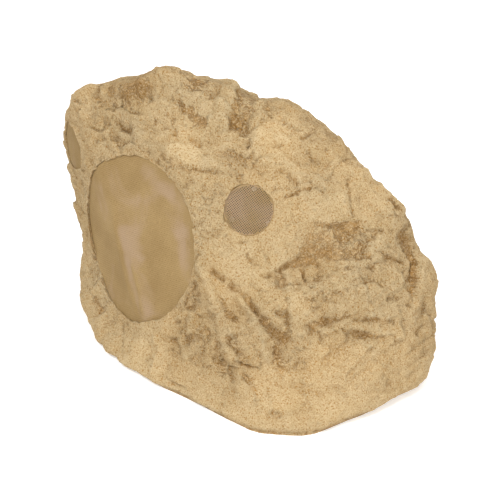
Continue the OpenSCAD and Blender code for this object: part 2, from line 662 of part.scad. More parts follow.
// Two lugs on a strip under the spider's shelf
strip_t = 1.6;
strip_w = 24;
strip_l = 20;
lug_w = 5;
lug_t = 0.8;
lug_l = 9;
module woofer_terminals() color([0.78, 0.70, 0.45]) at_woofer() rotate(-90)
    translate([shelf_d / 2 - shelf_w + 2 * basket_t, 0, shelf_z - strip_t]) {
        translate([0, -strip_w / 2, 0]) cube([strip_l, strip_w, strip_t]);
        for (side = [-1, 1]) translate([strip_l - 2 * lug_w, side * strip_w / 4 - lug_w / 2, -lug_t])
            cube([lug_l + lug_w, lug_w, lug_t]);
    }
module woofer_screws() color([0.50, 0.50, 0.52]) at_woofer()
    around(woofer_screw_count, woofer_screw_r, 45) translate([0, 0, woofer_flange_z])
        pan_screw(woofer_screw_d, woofer_screw_l);

// Small drivers: heights run outwards from their seats
module at_tweeter(place) at_place(place) translate([0, 0, -tweeter_seat_depth]) children();
tweeter_gasket_t = 1;
tweeter_plate_t = 2.5;
tweeter_flare = 5;
tweeter_lip_t = 0.5;
tweeter_lip = 5.3;
tweeter_roll_r = 0.9;
tweeter_dome_rise = 4.8;
tweeter_dome_t = 0.4;
tweeter_cup_gap = 0.5;
tweeter_cup_d = tweeter_cutout_d - 2 * tweeter_cup_gap;
tweeter_cup_h = 20;
tweeter_cup_t = 3.2;
tweeter_ring_t = 4;
tweeter_coil_t = 0.9;
tweeter_coil_gap = 0.4;
tweeter_coil_h = 5;
tweeter_magnet_inset = 0.8;
tweeter_screw_d = 3;
tweeter_screw_l = 8;
tweeter_screw_edge = 4.2;
tweeter_screw_r = tweeter_plate_d / 2 - tweeter_screw_edge;
tweeter_dome_r = tweeter_dome_d / 2;
tweeter_coil_r = tweeter_dome_r - tweeter_coil_t / 2;
tweeter_back_z = tweeter_gasket_t - tweeter_cup_h;
module tweeter_grille(place) color([0.66, 0.55, 0.41]) at_place(place)
    grille(place, tweeter_opening_d, tweeter_reach, tweeter_rim_h, tweeter_hole_d,
        tweeter_hole_pitch, 15);
module tweeter_holes(d, z, h) around(tweeter_screw_count, tweeter_screw_r, 90)
    translate([0, 0, z]) cylinder(d = d, h = h);
module tweeter_gasket(place) color([0.08, 0.08, 0.08]) at_tweeter(place) difference() {
    ring(tweeter_plate_d, tweeter_cutout_d, tweeter_gasket_t);
    tweeter_holes(tweeter_screw_d + 2 * fit, -over, tweeter_gasket_t + 2 * over);
}
module tweeter_plate(place) color([0.12, 0.12, 0.12]) at_tweeter(place) difference() {
    lip_r = tweeter_dome_r + tweeter_lip + fit;
    mouth_r = tweeter_dome_r + 2 * tweeter_roll_r + 2 * fit;
    top = tweeter_gasket_t + tweeter_plate_t;
    turned([[lip_r, tweeter_gasket_t], [tweeter_plate_d / 2, tweeter_gasket_t],
        [tweeter_plate_d / 2, top - tweeter_lip_t], [tweeter_plate_d / 2 - tweeter_lip_t, top],
        [mouth_r + tweeter_flare, top], [mouth_r + tweeter_flare / 3, tweeter_gasket_t + tweeter_plate_t / 2],
        [mouth_r, tweeter_gasket_t + tweeter_lip_t], [lip_r, tweeter_gasket_t + tweeter_lip_t]]);
    tweeter_holes(tweeter_screw_d + 2 * fit, -over, top + 2 * over);
}
// Dome, its rolled edge and the lip that is held under the face plate, in one piece
function arc_profile(x, z, r, from, to, n) =
    [for (i = [0:n]) let (a = from + (to - from) * i / n) [x + r * cos(a), z + r * sin(a)]];
module tweeter_dome(place) color([0.30, 0.30, 0.33]) at_tweeter(place) {
    r = tweeter_dome_r;
    t = tweeter_dome_t;
    z = tweeter_gasket_t;
    roll_x = r + tweeter_roll_r;
    turned(concat(
        [for (a = [0:9:81]) [r * sin(a), z + tweeter_dome_rise * cos(a)]],
        arc_profile(roll_x, z, tweeter_roll_r + t, 135, 30, 5),
        [[roll_x + tweeter_roll_r + t, z + tweeter_lip_t], [r + tweeter_lip, z + tweeter_lip_t],
            [r + tweeter_lip, z]],
        arc_profile(roll_x, z, tweeter_roll_r, 0, 180, 8),
        [for (a = [90:-9:0]) [(r - t) * sin(a), z + (tweeter_dome_rise - t) * cos(a)]]));
}
module tweeter_coil(place) color([0.72, 0.42, 0.18]) at_tweeter(place)
    ring(2 * (tweeter_coil_r + tweeter_coil_t / 2), 2 * (tweeter_coil_r - tweeter_coil_t / 2),
        tweeter_coil_h, tweeter_gasket_t - tweeter_coil_h);
tweeter_pole_r = tweeter_coil_r - tweeter_coil_t / 2 - tweeter_coil_gap;
tweeter_ring_r = tweeter_coil_r + tweeter_coil_t / 2 + tweeter_coil_gap;
module tweeter_pole(place) color([0.62, 0.62, 0.60]) at_tweeter(place)
    translate([0, 0, tweeter_gasket_t - tweeter_ring_t]) cylinder(r = tweeter_pole_r, h = tweeter_ring_t);
module tweeter_magnet(place) color([0.70, 0.70, 0.72]) at_tweeter(place)
    translate([0, 0, tweeter_back_z + tweeter_cup_t])
        cylinder(r = tweeter_pole_r - tweeter_magnet_inset,
            h = tweeter_cup_h - tweeter_cup_t - tweeter_ring_t);
module tweeter_cup(place) color([0.55, 0.55, 0.54]) at_tweeter(place) turned([
    [0, tweeter_back_z], [tweeter_cup_d / 2 - tweeter_lip_t, tweeter_back_z],
    [tweeter_cup_d / 2, tweeter_back_z + tweeter_lip_t], [tweeter_cup_d / 2, tweeter_gasket_t],
    [tweeter_ring_r, tweeter_gasket_t], [tweeter_ring_r, tweeter_gasket_t - tweeter_ring_t],
    [tweeter_cup_d / 2 - tweeter_cup_t, tweeter_gasket_t - tweeter_ring_t],
    [tweeter_cup_d / 2 - tweeter_cup_t, tweeter_back_z + tweeter_cup_t],
    [0, tweeter_back_z + tweeter_cup_t]]);
module tweeter_screws(place) color([0.50, 0.50, 0.52]) at_tweeter(place)
    around(tweeter_screw_count, tweeter_screw_r, 90)
        translate([0, 0, tweeter_gasket_t + tweeter_plate_t]) pan_screw(tweeter_screw_d, tweeter_screw_l);

// Crossover on the bottom plate: heights run up from the board
board_place_share = [0.15, 0.06];
board_z = base_t + board_lift;
standoff_d = 8;
standoff_inset = 6;
board_screw_d = 3;
board_screw_l = 6;
module at_board(z = 0) translate([board_place_share[0] * rock_w, board_place_share[1] * rock_d, z])
    children();
module at_standoffs(z) at_board(z) for (i = [-1, 1]) for (j = [-1, 1])
    translate([i * (board_l / 2 - standoff_inset), j * (board_w / 2 - standoff_inset), 0]) children();
module crossover_board() color([0.16, 0.36, 0.20]) difference() {
    at_board(board_z) translate([-board_l / 2, -board_w / 2, 0]) cube([board_l, board_w, board_t]);
    at_standoffs(board_z - over) cylinder(d = board_screw_d + fit, h = board_t + 2 * over);
}
module crossover_standoffs() color([0.80, 0.80, 0.78]) at_standoffs(base_t) difference() {
    cylinder(d = standoff_d, h = board_lift);
    translate([0, 0, board_lift - board_screw_l]) cylinder(d = board_screw_d + fit / 2, h = board_screw_l + over);
}
module crossover_screws() color([0.60, 0.60, 0.62]) at_standoffs(board_z + board_t)
    pan_screw(board_screw_d, board_screw_l);
module on_board(x_share, y_share) at_board(board_z + board_t)
    translate([x_share * board_l, y_share * board_w, 0]) children();
// Wound coils: [x share, y share, outer diameter, height]
coil_share = [[-0.3, 0.14, 0.36, 0.24], [0.03, 0.2, 0.27, 0.19]];
bobbin_t = 1.5;
bobbin_core_share = 0.42;
module crossover_bobbin() color([0.85, 0.84, 0.80]) for (c = coil_share) on_board(c[0], c[1]) {
    d = c[2] * board_l;
    h = c[3] * board_l;
    difference() {
        union() {
            cylinder(d = d, h = bobbin_t);
            cylinder(d = d * bobbin_core_share, h = h);
            translate([0, 0, h - bobbin_t]) cylinder(d = d, h = bobbin_t);
        }
        translate([0, 0, -over]) cylinder(d = d * bobbin_core_share - 2 * bobbin_t, h = h + 2 * over);
    }
}
module crossover_coil() color([0.72, 0.38, 0.14]) for (c = coil_share) on_board(c[0], c[1]) {
    d = c[2] * board_l;
    h = c[3] * board_l;
    ring(d - 2 * bobbin_t, d * bobbin_core_share + fit, h - 2 * bobbin_t - fit, bobbin_t + fit / 2);
}
// Capacitors lie on the board: [x share, y share, diameter share of the board's width, length share]
capacitor_share = [[0.32, 0.27, 0.17, 0.3], [0.32, 0.05, 0.17, 0.3], [0.32, -0.19, 0.21, 0.3]];
capacitor_edge = 1;
module crossover_capacitors() color([0.16, 0.22, 0.42]) for (c = capacitor_share) {
    d = c[2] * board_w;
    l = c[3] * board_l;
    on_board(c[0], c[1]) translate([-l / 2, 0, d / 2]) rotate([0, 90, 0])
        turned([[0, 0], [d / 2 - capacitor_edge, 0], [d / 2, capacitor_edge], [d / 2, l - capacitor_edge],
            [d / 2 - capacitor_edge, l], [0, l]]);
}
// Square ceramic resistors
resistor_share = [[-0.3, -0.2], [-0.3, -0.36], [0.06, -0.36]];
resistor_size = [25, 9, 9];
module crossover_resistors() color([0.90, 0.89, 0.85]) for (c = resistor_share) on_board(c[0], c[1])
    translate([-resistor_size[0] / 2, -resistor_size[1] / 2, 0]) cube(resistor_size);
terminal_count = 6;
terminal_pitch = 5.6;
terminal_size = [10, terminal_pitch, 11];
terminal_hole_d = 3;
terminal_place_share = [-0.01, -0.17];
module crossover_terminals() color([0.10, 0.30, 0.16])
    on_board(terminal_place_share[0], terminal_place_share[1]) rotate(90)
    difference() {
        translate([-terminal_size[0] / 2, -terminal_count * terminal_pitch / 2, 0])
            cube([terminal_size[0], terminal_count * terminal_pitch, terminal_size[2]]);
        for (i = [0:terminal_count - 1])
            translate([0, (i + 0.5 - terminal_count / 2) * terminal_pitch, 0]) {
                translate([0, 0, terminal_size[2] / 2]) cylinder(d = terminal_hole_d, h = terminal_size[2]);
                translate([0, 0, terminal_size[2] / 3]) rotate([0, 90, 0])
                    cylinder(d = terminal_hole_d, h = terminal_size[0]);
            }
    }

rock_shell();
base_plate();
base_gasket();
base_screws();
gland_body();
gland_seal();
gland_cap();
gland_locknut();
woofer_grille();
woofer_gasket();
woofer_basket();
woofer_surround();
woofer_cone();
woofer_dust_cap();
woofer_voice_coil();
woofer_spider();
woofer_top_plate();
woofer_magnet();
woofer_pole_piece();
woofer_terminals();
woofer_screws();
tweeter_grille(left_place);  // left_tweeter_grille
tweeter_gasket(left_place);  // left_tweeter_gasket
tweeter_plate(left_place);  // left_tweeter_plate
tweeter_dome(left_place);  // left_tweeter_dome
tweeter_coil(left_place);  // left_tweeter_coil
tweeter_pole(left_place);  // left_tweeter_pole
tweeter_magnet(left_place);  // left_tweeter_magnet
tweeter_cup(left_place);  // left_tweeter_cup
tweeter_screws(left_place);  // left_tweeter_screws
tweeter_grille(right_place);  // right_tweeter_grille
tweeter_gasket(right_place);  // right_tweeter_gasket
tweeter_plate(right_place);  // right_tweeter_plate
tweeter_dome(right_place);  // right_tweeter_dome
tweeter_coil(right_place);  // right_tweeter_coil
tweeter_pole(right_place);  // right_tweeter_pole
tweeter_magnet(right_place);  // right_tweeter_magnet
tweeter_cup(right_place);  // right_tweeter_cup
tweeter_screws(right_place);  // right_tweeter_screws
crossover_board();
crossover_standoffs();
crossover_screws();
crossover_bobbin();
crossover_coil();
crossover_capacitors();
crossover_resistors();
crossover_terminals();
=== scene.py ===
"""Looks of a rock shaped garden speaker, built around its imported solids.

Lengths are in millimetres until a mesh is made, and in metres in every mesh.
"""

import json
import math

import bmesh
import bpy
import numpy as np
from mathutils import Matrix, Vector


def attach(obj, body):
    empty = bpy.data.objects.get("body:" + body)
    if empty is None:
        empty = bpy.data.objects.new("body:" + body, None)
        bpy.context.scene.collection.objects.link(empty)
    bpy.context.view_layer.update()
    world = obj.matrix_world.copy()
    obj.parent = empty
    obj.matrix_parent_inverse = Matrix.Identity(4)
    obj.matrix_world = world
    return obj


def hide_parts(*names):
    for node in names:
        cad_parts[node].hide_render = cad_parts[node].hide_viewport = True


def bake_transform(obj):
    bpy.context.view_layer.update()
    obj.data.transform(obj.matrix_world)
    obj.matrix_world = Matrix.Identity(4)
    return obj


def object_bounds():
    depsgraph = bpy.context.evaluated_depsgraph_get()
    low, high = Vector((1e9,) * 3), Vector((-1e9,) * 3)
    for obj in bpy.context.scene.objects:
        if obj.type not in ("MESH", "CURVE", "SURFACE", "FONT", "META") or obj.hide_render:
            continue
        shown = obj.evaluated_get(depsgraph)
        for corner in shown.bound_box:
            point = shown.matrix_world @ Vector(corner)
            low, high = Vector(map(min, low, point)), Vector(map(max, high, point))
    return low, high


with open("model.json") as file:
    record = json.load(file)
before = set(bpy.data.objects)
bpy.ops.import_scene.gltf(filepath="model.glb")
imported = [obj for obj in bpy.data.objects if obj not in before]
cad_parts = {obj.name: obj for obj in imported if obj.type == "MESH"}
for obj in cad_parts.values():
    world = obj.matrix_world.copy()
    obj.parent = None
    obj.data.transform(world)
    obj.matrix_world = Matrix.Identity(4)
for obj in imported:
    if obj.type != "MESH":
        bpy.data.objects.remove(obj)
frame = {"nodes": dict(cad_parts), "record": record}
cad_bounds = [list(corner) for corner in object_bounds()]

MM = 0.001
NODES = frame["nodes"]
NODE_SLOT = {s["node"]: s["material_slot"] for s in frame["record"]["subparts"]}

# form of the boulder
ROCK_SIZE = np.array([496.0, 334.0, 330.0])
FORM_EXTENT = np.array([1.032, 0.694, 0.685])
FORM_SCALE = ROCK_SIZE / FORM_EXTENT
FORM_CENTRE = np.array([0.0686, -0.0227, 0.0]) * ROCK_SIZE
EDGE_POWER = 60
FOOT_DEPTH, FOOT_RISE = 0.021, 2.0
WAVE_HEIGHT = (0.006, 0.002)
# Facets of broken stone: size, height, and how far they bend and stay off the foot and the grilles
FACET_SIZE = np.array([0.125, 0.125, 0.1])
FACET_HEIGHT, FACET_BEND, FACET_FOOT, FACET_CLEAR = 0.0125, 0.02, 9, 34.0
# Broken faces: bearing, lean, distance
FACES = np.array([
    [0, 17.5, 0.297], [-20, 1, 0.306], [-31, 0, 0.381], [-40, -14, 0.363], [-45, -7, 0.43],
    [-49, 0, 0.519], [-64, 23, 0.69], [-80, -20, 0.427], [-88, 8, 0.655],
    [30, 32, 0.335], [38, 8, 0.408], [62, 22, 0.396], [76, 3, 0.412],
    [84, 28, 0.45], [75, 46, 0.487], [62, 62, 0.546],
    [-10, 84, 0.708], [-75, 62, 0.767], [-85, 28, 0.742],
    [-119, 57.6, 0.677], [-167, 56, 0.567], [167, 44, 0.502], [158, 37, 0.458],
    [149, 27.5, 0.431], [143, 19, 0.423], [127, -7, 0.404],
    [180, 12, 0.358], [-150, 15, 0.417], [-115, -10, 0.425], [-165, 42, 0.492],
])
# Bulges and hollows: bearing, rise, half width, half height, turn, height
BULGES = np.array([
    [-45, 3, 30, 9, 0, 0.067], [-78, 8, 14, 9, 0, 0.021], [0, 0, 60, 6, 0, 0.017],
    [55, 2, 40, 8, 0, 0.01],
    [65, 54, 12, 5, 8, -0.031], [70, 68, 8, 5, 0, 0.019], [72, 44, 14, 5, 0, 0.01],
    [14, 45, 18, 4, -55, 0.015], [32, 42, 18, 4, -40, -0.017], [44, 40, 6, 12, 0, 0.008],
    [-130, 82, 5, 4, 0, -0.025], [-95, 44, 9, 7, 0, 0.012],
    [112, 50, 7, 5, 0, 0.023], [116, 33, 7, 5, 0, 0.015],
])
# A flat floor far below the ground closes the form before it is cut off at z = 0
UNDER_FLOOR = 0.06


def unit(bearing, rise):
    b, r = np.radians(bearing), np.radians(rise)
    return np.stack([np.sin(b) * np.cos(r), -np.cos(b) * np.cos(r), np.sin(r)], -1)


def face_radius(u):
    normals = unit(FACES[:, 0], FACES[:, 1])
    reach = np.maximum(u @ (normals / FACES[:, 2:3]).T, 0)
    floor = np.maximum(-u[:, 2] / UNDER_FLOOR, 0)[:, None]
    return (np.concatenate([reach, floor], 1) ** EDGE_POWER).sum(1) ** (-1 / EDGE_POWER)


def angles_of(u):
    bearing = np.degrees(np.arctan2(u[:, 0], -u[:, 1]))
    rise = np.degrees(np.arctan2(u[:, 2], np.hypot(u[:, 0], u[:, 1])))
    return bearing, rise


def bulges_at(bearing, rise):
    total = np.zeros(len(bearing))
    for b, r, wide, high, turn, height in BULGES:
        across = ((bearing - b + 180) % 360 - 180) * np.cos(np.radians(rise))
        up = rise - r
        c, s = math.cos(math.radians(turn)), math.sin(math.radians(turn))
        total += height * np.exp(
            -(((across * c + up * s) / wide) ** 2) - ((up * c - across * s) / high) ** 2)
    return total


def waves(p):
    a, b, c = (np.radians(p @ np.array(k)) for k in
               ([1311, 513, -285], [-399, 1425, 627], [285, -456, 1539]))
    return (np.sin(a) + np.sin(b + np.radians(40) * np.sin(c))
            + np.sin(c + np.radians(60) * np.sin(a))) / 3


def foot_at(rise):
    return FOOT_DEPTH * np.exp(-((np.maximum(rise, 0) / FOOT_RISE) ** 2))


def eased(x, low=0.0, high=1.0):
    t = np.clip((x - low) / (high - low), 0, 1)
    return t * t * (3 - 2 * t)


def scattered(cell, k):
    """Scattered numbers from 0 to 1, one for each cell and purpose."""
    h = 43758.5 * np.sin(np.radians(cell @ np.array([744.3, 4482.4, 2161.1]) + 131.7 * k + 481))
    return h - np.floor(h)


def facets(q, first=0, blend=0.35, step=0.6):
    """Heights of broken stone: each cell is a tilted facet, and neighbours meet in a short slope."""
    near = np.floor(q - 0.5)
    gaps, heights = [], []
    for corner in np.ndindex(2, 2, 2):
        cell = near + np.array(corner)
        d = q - cell - np.stack([0.2 + 0.6 * scattered(cell, first + k) for k in range(3)], -1)
        lean = np.stack([2 * scattered(cell, first + k) - 1 for k in range(3, 6)], -1)
        gaps.append(np.linalg.norm(d, axis=1))
        heights.append((d * lean).sum(1) + step * (scattered(cell, first + 6) - 0.5))
    order = np.argsort(gaps, axis=0)[:2]
    gap, height = (np.take_along_axis(np.array(v), order, 0) for v in (gaps, heights))
    share = eased((gap[1] - gap[0]) / blend) / 2 + 0.5
    return height[0] * share + height[1] * (1 - share)


def bent(p):
    turns = np.radians(p @ np.array([[1500, -700, 1000], [900, 1300, -1200], [-600, 1100, 1700]]))
    return p + FACET_BEND * np.sin(turns)


def facet_fade(points, rise):
    """The facets fade out towards the foot and around each opening."""
    fade = 1 - 0.6 * np.exp(-((rise / FACET_FOOT) ** 2))
    for place, radius, _ in OPENINGS:
        fade = fade * eased((np.linalg.norm(points - place[0], axis=1) - radius) / FACET_CLEAR)
    return fade


def form_points(u, depth=0.0, rough=True):
    """Points of the boulder's skin in directions u, moved towards its middle by a depth."""
    bearing, rise = angles_of(u)
    base = face_radius(u)
    radius = base + bulges_at(bearing, rise)
    if rough:
        p = u * base[:, None]
        fade = facet_fade(FORM_CENTRE + u * radius[:, None] * FORM_SCALE, rise)
        radius = (radius - foot_at(rise) + WAVE_HEIGHT[0] * waves(p) + WAVE_HEIGHT[1] * waves(p * 2.3)
                  + FACET_HEIGHT * fade * facets(bent(p) / FACET_SIZE))
    v = u * radius[:, None] * FORM_SCALE
    size = np.linalg.norm(v, axis=1, keepdims=True)
    return FORM_CENTRE + v * (1 - np.reshape(depth, (-1, 1)) / size)


def directions_of(points):
    q = (points - FORM_CENTRE) / FORM_SCALE
    return q / np.linalg.norm(q, axis=1, keepdims=True)


def place_of(bearing, rise, out_bearing, out_lean):
    """Point on the smooth form, with the side, up and outward directions of a driver."""
    origin = form_points(unit(np.array([bearing]), np.array([rise])), 0.0, rough=False)[0]
    out = unit(out_bearing, out_lean)
    side = np.array([math.cos(math.radians(out_bearing)), math.sin(math.radians(out_bearing)), 0])
    return origin, side, np.cross(out, side), out


WOOFER = place_of(-44.8, 43.1, 0, 17.5)
LEFT = place_of(-75.5, 38, -33, 14)
RIGHT = place_of(28.5, 73.4, 28, 32)
WOOFER_RADIUS, TWEETER_RADIUS = 98.5, 29.5
# Place, radius and seat depth of each opening
OPENINGS = ((WOOFER, WOOFER_RADIUS, 56.0), (LEFT, TWEETER_RADIUS, 22.0), (RIGHT, TWEETER_RADIUS, 22.0))

# Middle of the cable gland's recess, on the skin at the back
GLAND = np.array([34.03, 159.68, 44.0])
GLAND_SEAT, GLAND_RADIUS = 16.95, 19.2

# noise on points
def value_noise(p, first):
    """Smooth noise from -1 to 1 with a cell of one unit."""
    cell = np.floor(p)
    f = p - cell
    f = f * f * f * (f * (f * 6 - 15) + 10)
    total = np.zeros(len(p))
    for corner in np.ndindex(2, 2, 2):
        weight = np.prod(np.where(np.array(corner) == 1, f, 1 - f), axis=1)
        total += weight * scattered(cell + np.array(corner), first)
    return 2 * total - 1


def octaves(p, first, count=4, gain=0.5):
    """Smooth noise from -1 to 1, with finer and finer cells added."""
    total, size, reach = np.zeros(len(p)), 1.0, 0.0
    for i in range(count):
        total += size * value_noise(p * 2.03 ** i + 17.3 * i, first + i)
        reach += size
        size *= gain
    return total / reach


# features seen in the photograph
# Places along each mark, half width, height, and tone from -1, dark, to 1, pale; the dark tone is painted
# shade in the recess, hollows, furrow and grooves and under the ledge, and the pale tone is a painted
# highlight on the brow, the pale ledge and the ridges
MARKS = [
    # crack in the brow
    ([(-55, -65, 286), (-44, -67, 279), (-38, -69, 273)], 1.8, -3, -0.7),
    # pit in the brow
    ([(-40, -70, 272), (-37, -70, 271)], 3.2, -3.5, -0.9),
    # recess behind the brow, with painted shade
    ([(-41, -53, 299), (-27, -50, 290), (-9, -50, 278)], 7, -3.5, -0.55),
    # step under the recess
    ([(-20, -64, 269), (-9, -63, 261), (2, -63, 254)], 3, -3, -0.6),
    # brow, pale: a painted highlight
    ([(-22, -79, 249), (-12, -70, 256), (2, -67, 250)], 10, 1.5, 0.35),
    # brow, pale left: a painted highlight
    ([(-85, -78, 252), (-59, -76, 255)], 13, 1.5, 0.35),
    # patch on the crown
    ([(-121, -76, 260), (-104, -77, 256)], 8, -2, -0.5),
    # groove on the crown, with painted shade
    ([(-134, -73, 272), (-128, -68, 281), (-123, -67, 284)], 3, -2, -0.5),
    # saddles, notch and corner of the skyline
    ([(-157, -61, 291), (-129, -60, 300), (-101, -58, 312)], 22, -6, 0),
    ([(-50, -27, 324), (-25, -18, 318)], 15, -6, 0),
    ([(22, -28, 294), (13, -8, 304), (0, 14, 304)], 11, -6, -0.1),
    ([(-178, -65, 284), (-175, -64, 285)], 9, 4, 0),
    # step and lobe at the right end
    ([(195, 50, 179), (203, 56, 156)], 10, -6, -0.2),
    ([(214, 65, 141), (224, 70, 125)], 12, 4, 0),
    # shaded wedge
    ([(19, -31, 283), (26, -29, 280)], 9, -3, -0.3),
    # pale ledge: a painted highlight on its top
    ([(21, -41, 267), (36, -27, 274), (47, -17, 276), (70, -9, 271)], 7, 2.5, 0.5),
    # painted shadow under the ledge
    ([(39, -34, 261), (51, -24, 264), (64, -16, 266)], 2.2, -3.5, -0.6),
    # pale shelf
    ([(47, -34, 254), (66, -25, 254), (87, -16, 251)], 9, 1, 0.3),
    # pale bulge
    ([(123, -15, 233), (138, -12, 219), (148, -6, 211)], 18, 3, 0.3),
    # fold right of the small grille
    ([(93, -36, 221), (102, -30, 226), (110, -23, 232), (119, -17, 236)], 2.4, -3.5, -0.8),
    # upright joint
    ([(135, 23, 240), (146, 10, 224), (157, 2, 206)], 2.2, -3, -0.55),
    # dark flecks
    ([(83, 6, 277), (85, 17, 279)], 2, -2, -0.6),
    # hollow, with painted shade
    ([(126, -47, 165), (137, -34, 181), (150, -18, 190), (161, -2, 197)], 15, -4, -0.8),
    # hollow, lower, with painted shade
    ([(141, -35, 167), (167, -20, 174), (180, -7, 176)], 11, -2.5, -0.5),
    # corner of the hollow, with painted shade
    ([(113, -62, 151), (120, -53, 159), (127, -45, 165)], 3.5, -4, -0.9),
    # crack below the hollow
    ([(128, -48, 151), (136, -50, 143), (153, -59, 140)], 2.2, -3.5, -0.8),
    # crack left of it
    ([(101, -82, 146), (107, -72, 146), (112, -65, 140)], 2, -2.5, -0.6),
    # head of the furrow, with painted shade
    ([(50, -109, 145), (64, -107, 137)], 2.6, -4, -0.9),
    # furrow, with painted shade
    ([(76, -104, 133), (95, -102, 124), (120, -104, 110), (137, -101, 95), (150, -97, 90)], 5.5, -4.5, -0.55),
    # furrow, side, with painted shade
    ([(73, -117, 120), (83, -118, 110), (91, -119, 104)], 4, -3.5, -0.7),
    # ridge left of the furrow, with a painted highlight
    ([(33, -113, 145), (49, -116, 137), (64, -120, 125), (77, -123, 112)], 4.5, 3.5, 0.7),
    # ridge in the furrow, with a painted highlight
    ([(81, -104, 127), (93, -104, 118), (111, -107, 105), (127, -112, 91), (140, -118, 73)], 4.5, 3.5, 0.7),
    # groove below the ridge, with painted shade
    ([(97, -133, 88), (110, -136, 73), (116, -136, 55), (127, -137, 45), (137, -139, 39)], 2.6, -4, -0.8),
    # dark ground left of it
    ([(58, -137, 73), (80, -139, 65), (94, -141, 53)], 14, -2, -0.35),
    # dark spot below the grille
    ([(21, -138, 53), (45, -140, 63)], 4, -2.5, -0.6),
    # pale scar
    ([(33, -139, 52), (44, -146, 38)], 4, 1.5, 0.5),
    # pale patch near the foot
    ([(54, -148, 36), (67, -150, 30)], 7, 1, 0.45),
    # dark ground right of the ridge
    ([(145, -109, 79), (157, -113, 60)], 9, -2, -0.55),
    # bulge beside the furrow
    ([(143, -73, 128), (155, -74, 118)], 15, 3.5, 0.2),
    # groove above the skirt, with painted shade
    ([(168, -77, 101), (180, -60, 114), (193, -46, 119)], 4.5, -3.5, -0.5),
    # groove on the skirt, with painted shade
    ([(199, -42, 113), (209, -26, 107), (216, -10, 107)], 2, -2.5, -0.6),
    # dark line on the skirt
    ([(204, -41, 98), (215, -26, 92)], 4.5, -2, -0.55),
    # groove right, with painted shade
    ([(190, 9, 170), (198, 21, 160), (205, 36, 150)], 2, -3, -0.6),
    # joint on the right lobe
    ([(197, 59, 171), (209, 49, 147), (220, 38, 130)], 2.6, -4, -0.6),
    # joint, lower
    ([(223, 32, 124), (230, 24, 111)], 3, -2.5, -0.4),
    # crack on the shoulder
    ([(173, 51, 213), (186, 53, 204)], 1.8, -2.5, -0.6),
    # pits beside the large grille
    ([(31, -119, 124), (36, -119, 124)], 2.6, -2.5, -0.6),
    # pits under the small grille
    ([(82, -70, 177), (89, -70, 173)], 2, -2.5, -0.8),
    # pits lower
    ([(78, -80, 165), (83, -81, 161)], 2, -2.5, -0.8),
    # hollow in the left foot, with painted shade
    ([(-132, -119, 34), (-119, -129, 28)], 6, -2.5, -0.5),
    # pale edge of the left foot
    ([(-121, -111, 49), (-93, -134, 32)], 3, 1.5, 0.35),
    # smooth skirt
    ([(198, -80, 64), (217, -51, 55)], 40, 0, -0.35),
]
# Ledges: places along the sharp edge, direction of the high side, reach, height
LEDGES = [
    # brow
    ([(-26, -81, 244), (-12, -80, 241), (11, -69, 243)], (-0.1, 0.4, 0.9), 15, 4.5),
    # brow, left
    ([(-66, -80, 242), (-45, -81, 245), (-27, -80, 249)], (-0.2, 0.3, 0.9), 14, 3.0),
    # pale ledge
    ([(19, -47, 260), (41, -38, 254), (46, -29, 261), (70, -13, 267)], (-0.4, 0.3, 0.8), 11, 4.0),
    # pale facet
    ([(43, -32, 259), (54, -35, 249), (74, -26, 246), (96, -20, 240)], (0.7, 0.6, 0.3), 20, 4.0),
    # edge over the hollow
    ([(112, -62, 153), (125, -48, 164), (143, -31, 175)], (-0.5, -0.2, 0.9), 16, 4.0),
    # upper edge of the hollow
    ([(128, -33, 204), (143, -18, 202), (159, 0, 202)], (-0.3, 0.3, 0.9), 18, 2.5),
    # bulge beside the furrow
    ([(117, -62, 135), (134, -76, 129), (145, -86, 109)], (0.9, 0.2, 0.3), 20, 4.0),
    # crease of the furrow
    ([(102, -131, 87), (118, -136, 55), (138, -138, 39)], (-0.8, -0.3, -0.5), 14, 4.0),
    # strata above the skirt
    ([(183, -57, 115), (199, -37, 118), (216, -12, 104)], (-0.2, 0.1, 1.0), 12, 3.0),
    ([(178, -72, 99), (194, -55, 106), (207, -37, 96), (221, -17, 89)], (0.3, 0.6, 0.8), 10, 2.5),
    # right lobe
    ([(207, 55, 151), (215, 47, 139), (222, 40, 128)], (0.4, 0.9, -0.3), 16, 4.0),
    # crown
    ([(-41, -53, 299), (-25, -48, 291), (-9, -46, 282)], (0.6, 0.6, 0.5), 14, 4.0),
    # shoulder
    ([(173, 55, 212), (185, 54, 206)], (-0.7, 0.7, 0.1), 10, 3.0),
    # step on the skyline
    ([(16, -40, 294), (5, -18, 308), (-10, 4, 309), (-24, 22, 303)], (-0.75, -0.66, 0), 24, 5.5),
    # left foot
    ([(-204, -73, 109), (-199, -76, 99)], (-0.1, 0.0, 1.0), 10, 3.0),
]
# How far a ledge drops on its low side, and how far its painted shadow line reaches there
LEDGE_FALL, LEDGE_SHADE = 1.8, 3.0
# Painted highlight on a ledge's high side and painted shadow on its low side
LEDGE_HIGHLIGHT_AND_SHADOW = (0.3, -0.55)
# Patches that are smoother and paler: centre, reach
SMOOTH_PATCHES = [((-25, -74, 255), 26), ((60, -14, 270), 22), ((205, -70, 55), 55), ((150, -110, 40), 40)]


def along(points, p, high_side=None):
    """Distance from points p to a line through the given points, and whether they lie on its high side."""
    best, above = np.full(len(p), 1e9), np.zeros(len(p), bool)
    for a, b in zip(points, points[1:]):
        a, b = np.array(a, float), np.array(b, float)
        t = np.clip((p - a) @ (b - a) / ((b - a) @ (b - a)), 0, 1)
        away = p - a - t[:, None] * (b - a)
        far = np.linalg.norm(away, axis=1)
        if high_side is not None:
            above = np.where(far < best, away @ np.array(high_side) > 0, above)
        best = np.minimum(best, far)
    return best if high_side is None else (best, above)


def over_smooth(p):
    """Height of points over the smooth form, in millimetres along the ray from its middle."""
    q = (p - FORM_CENTRE) / FORM_SCALE
    size = np.linalg.norm(q, axis=1)
    u = q / size[:, None]
    smooth = face_radius(u) + bulges_at(*angles_of(u))
    return (1 - smooth / size) * np.linalg.norm(p - FORM_CENTRE, axis=1)


# How far the skin may leave the smooth form at an opening's edge, and how fast that grows away from it
EDGE_PLAY, EDGE_RISE = 1.0, 0.5


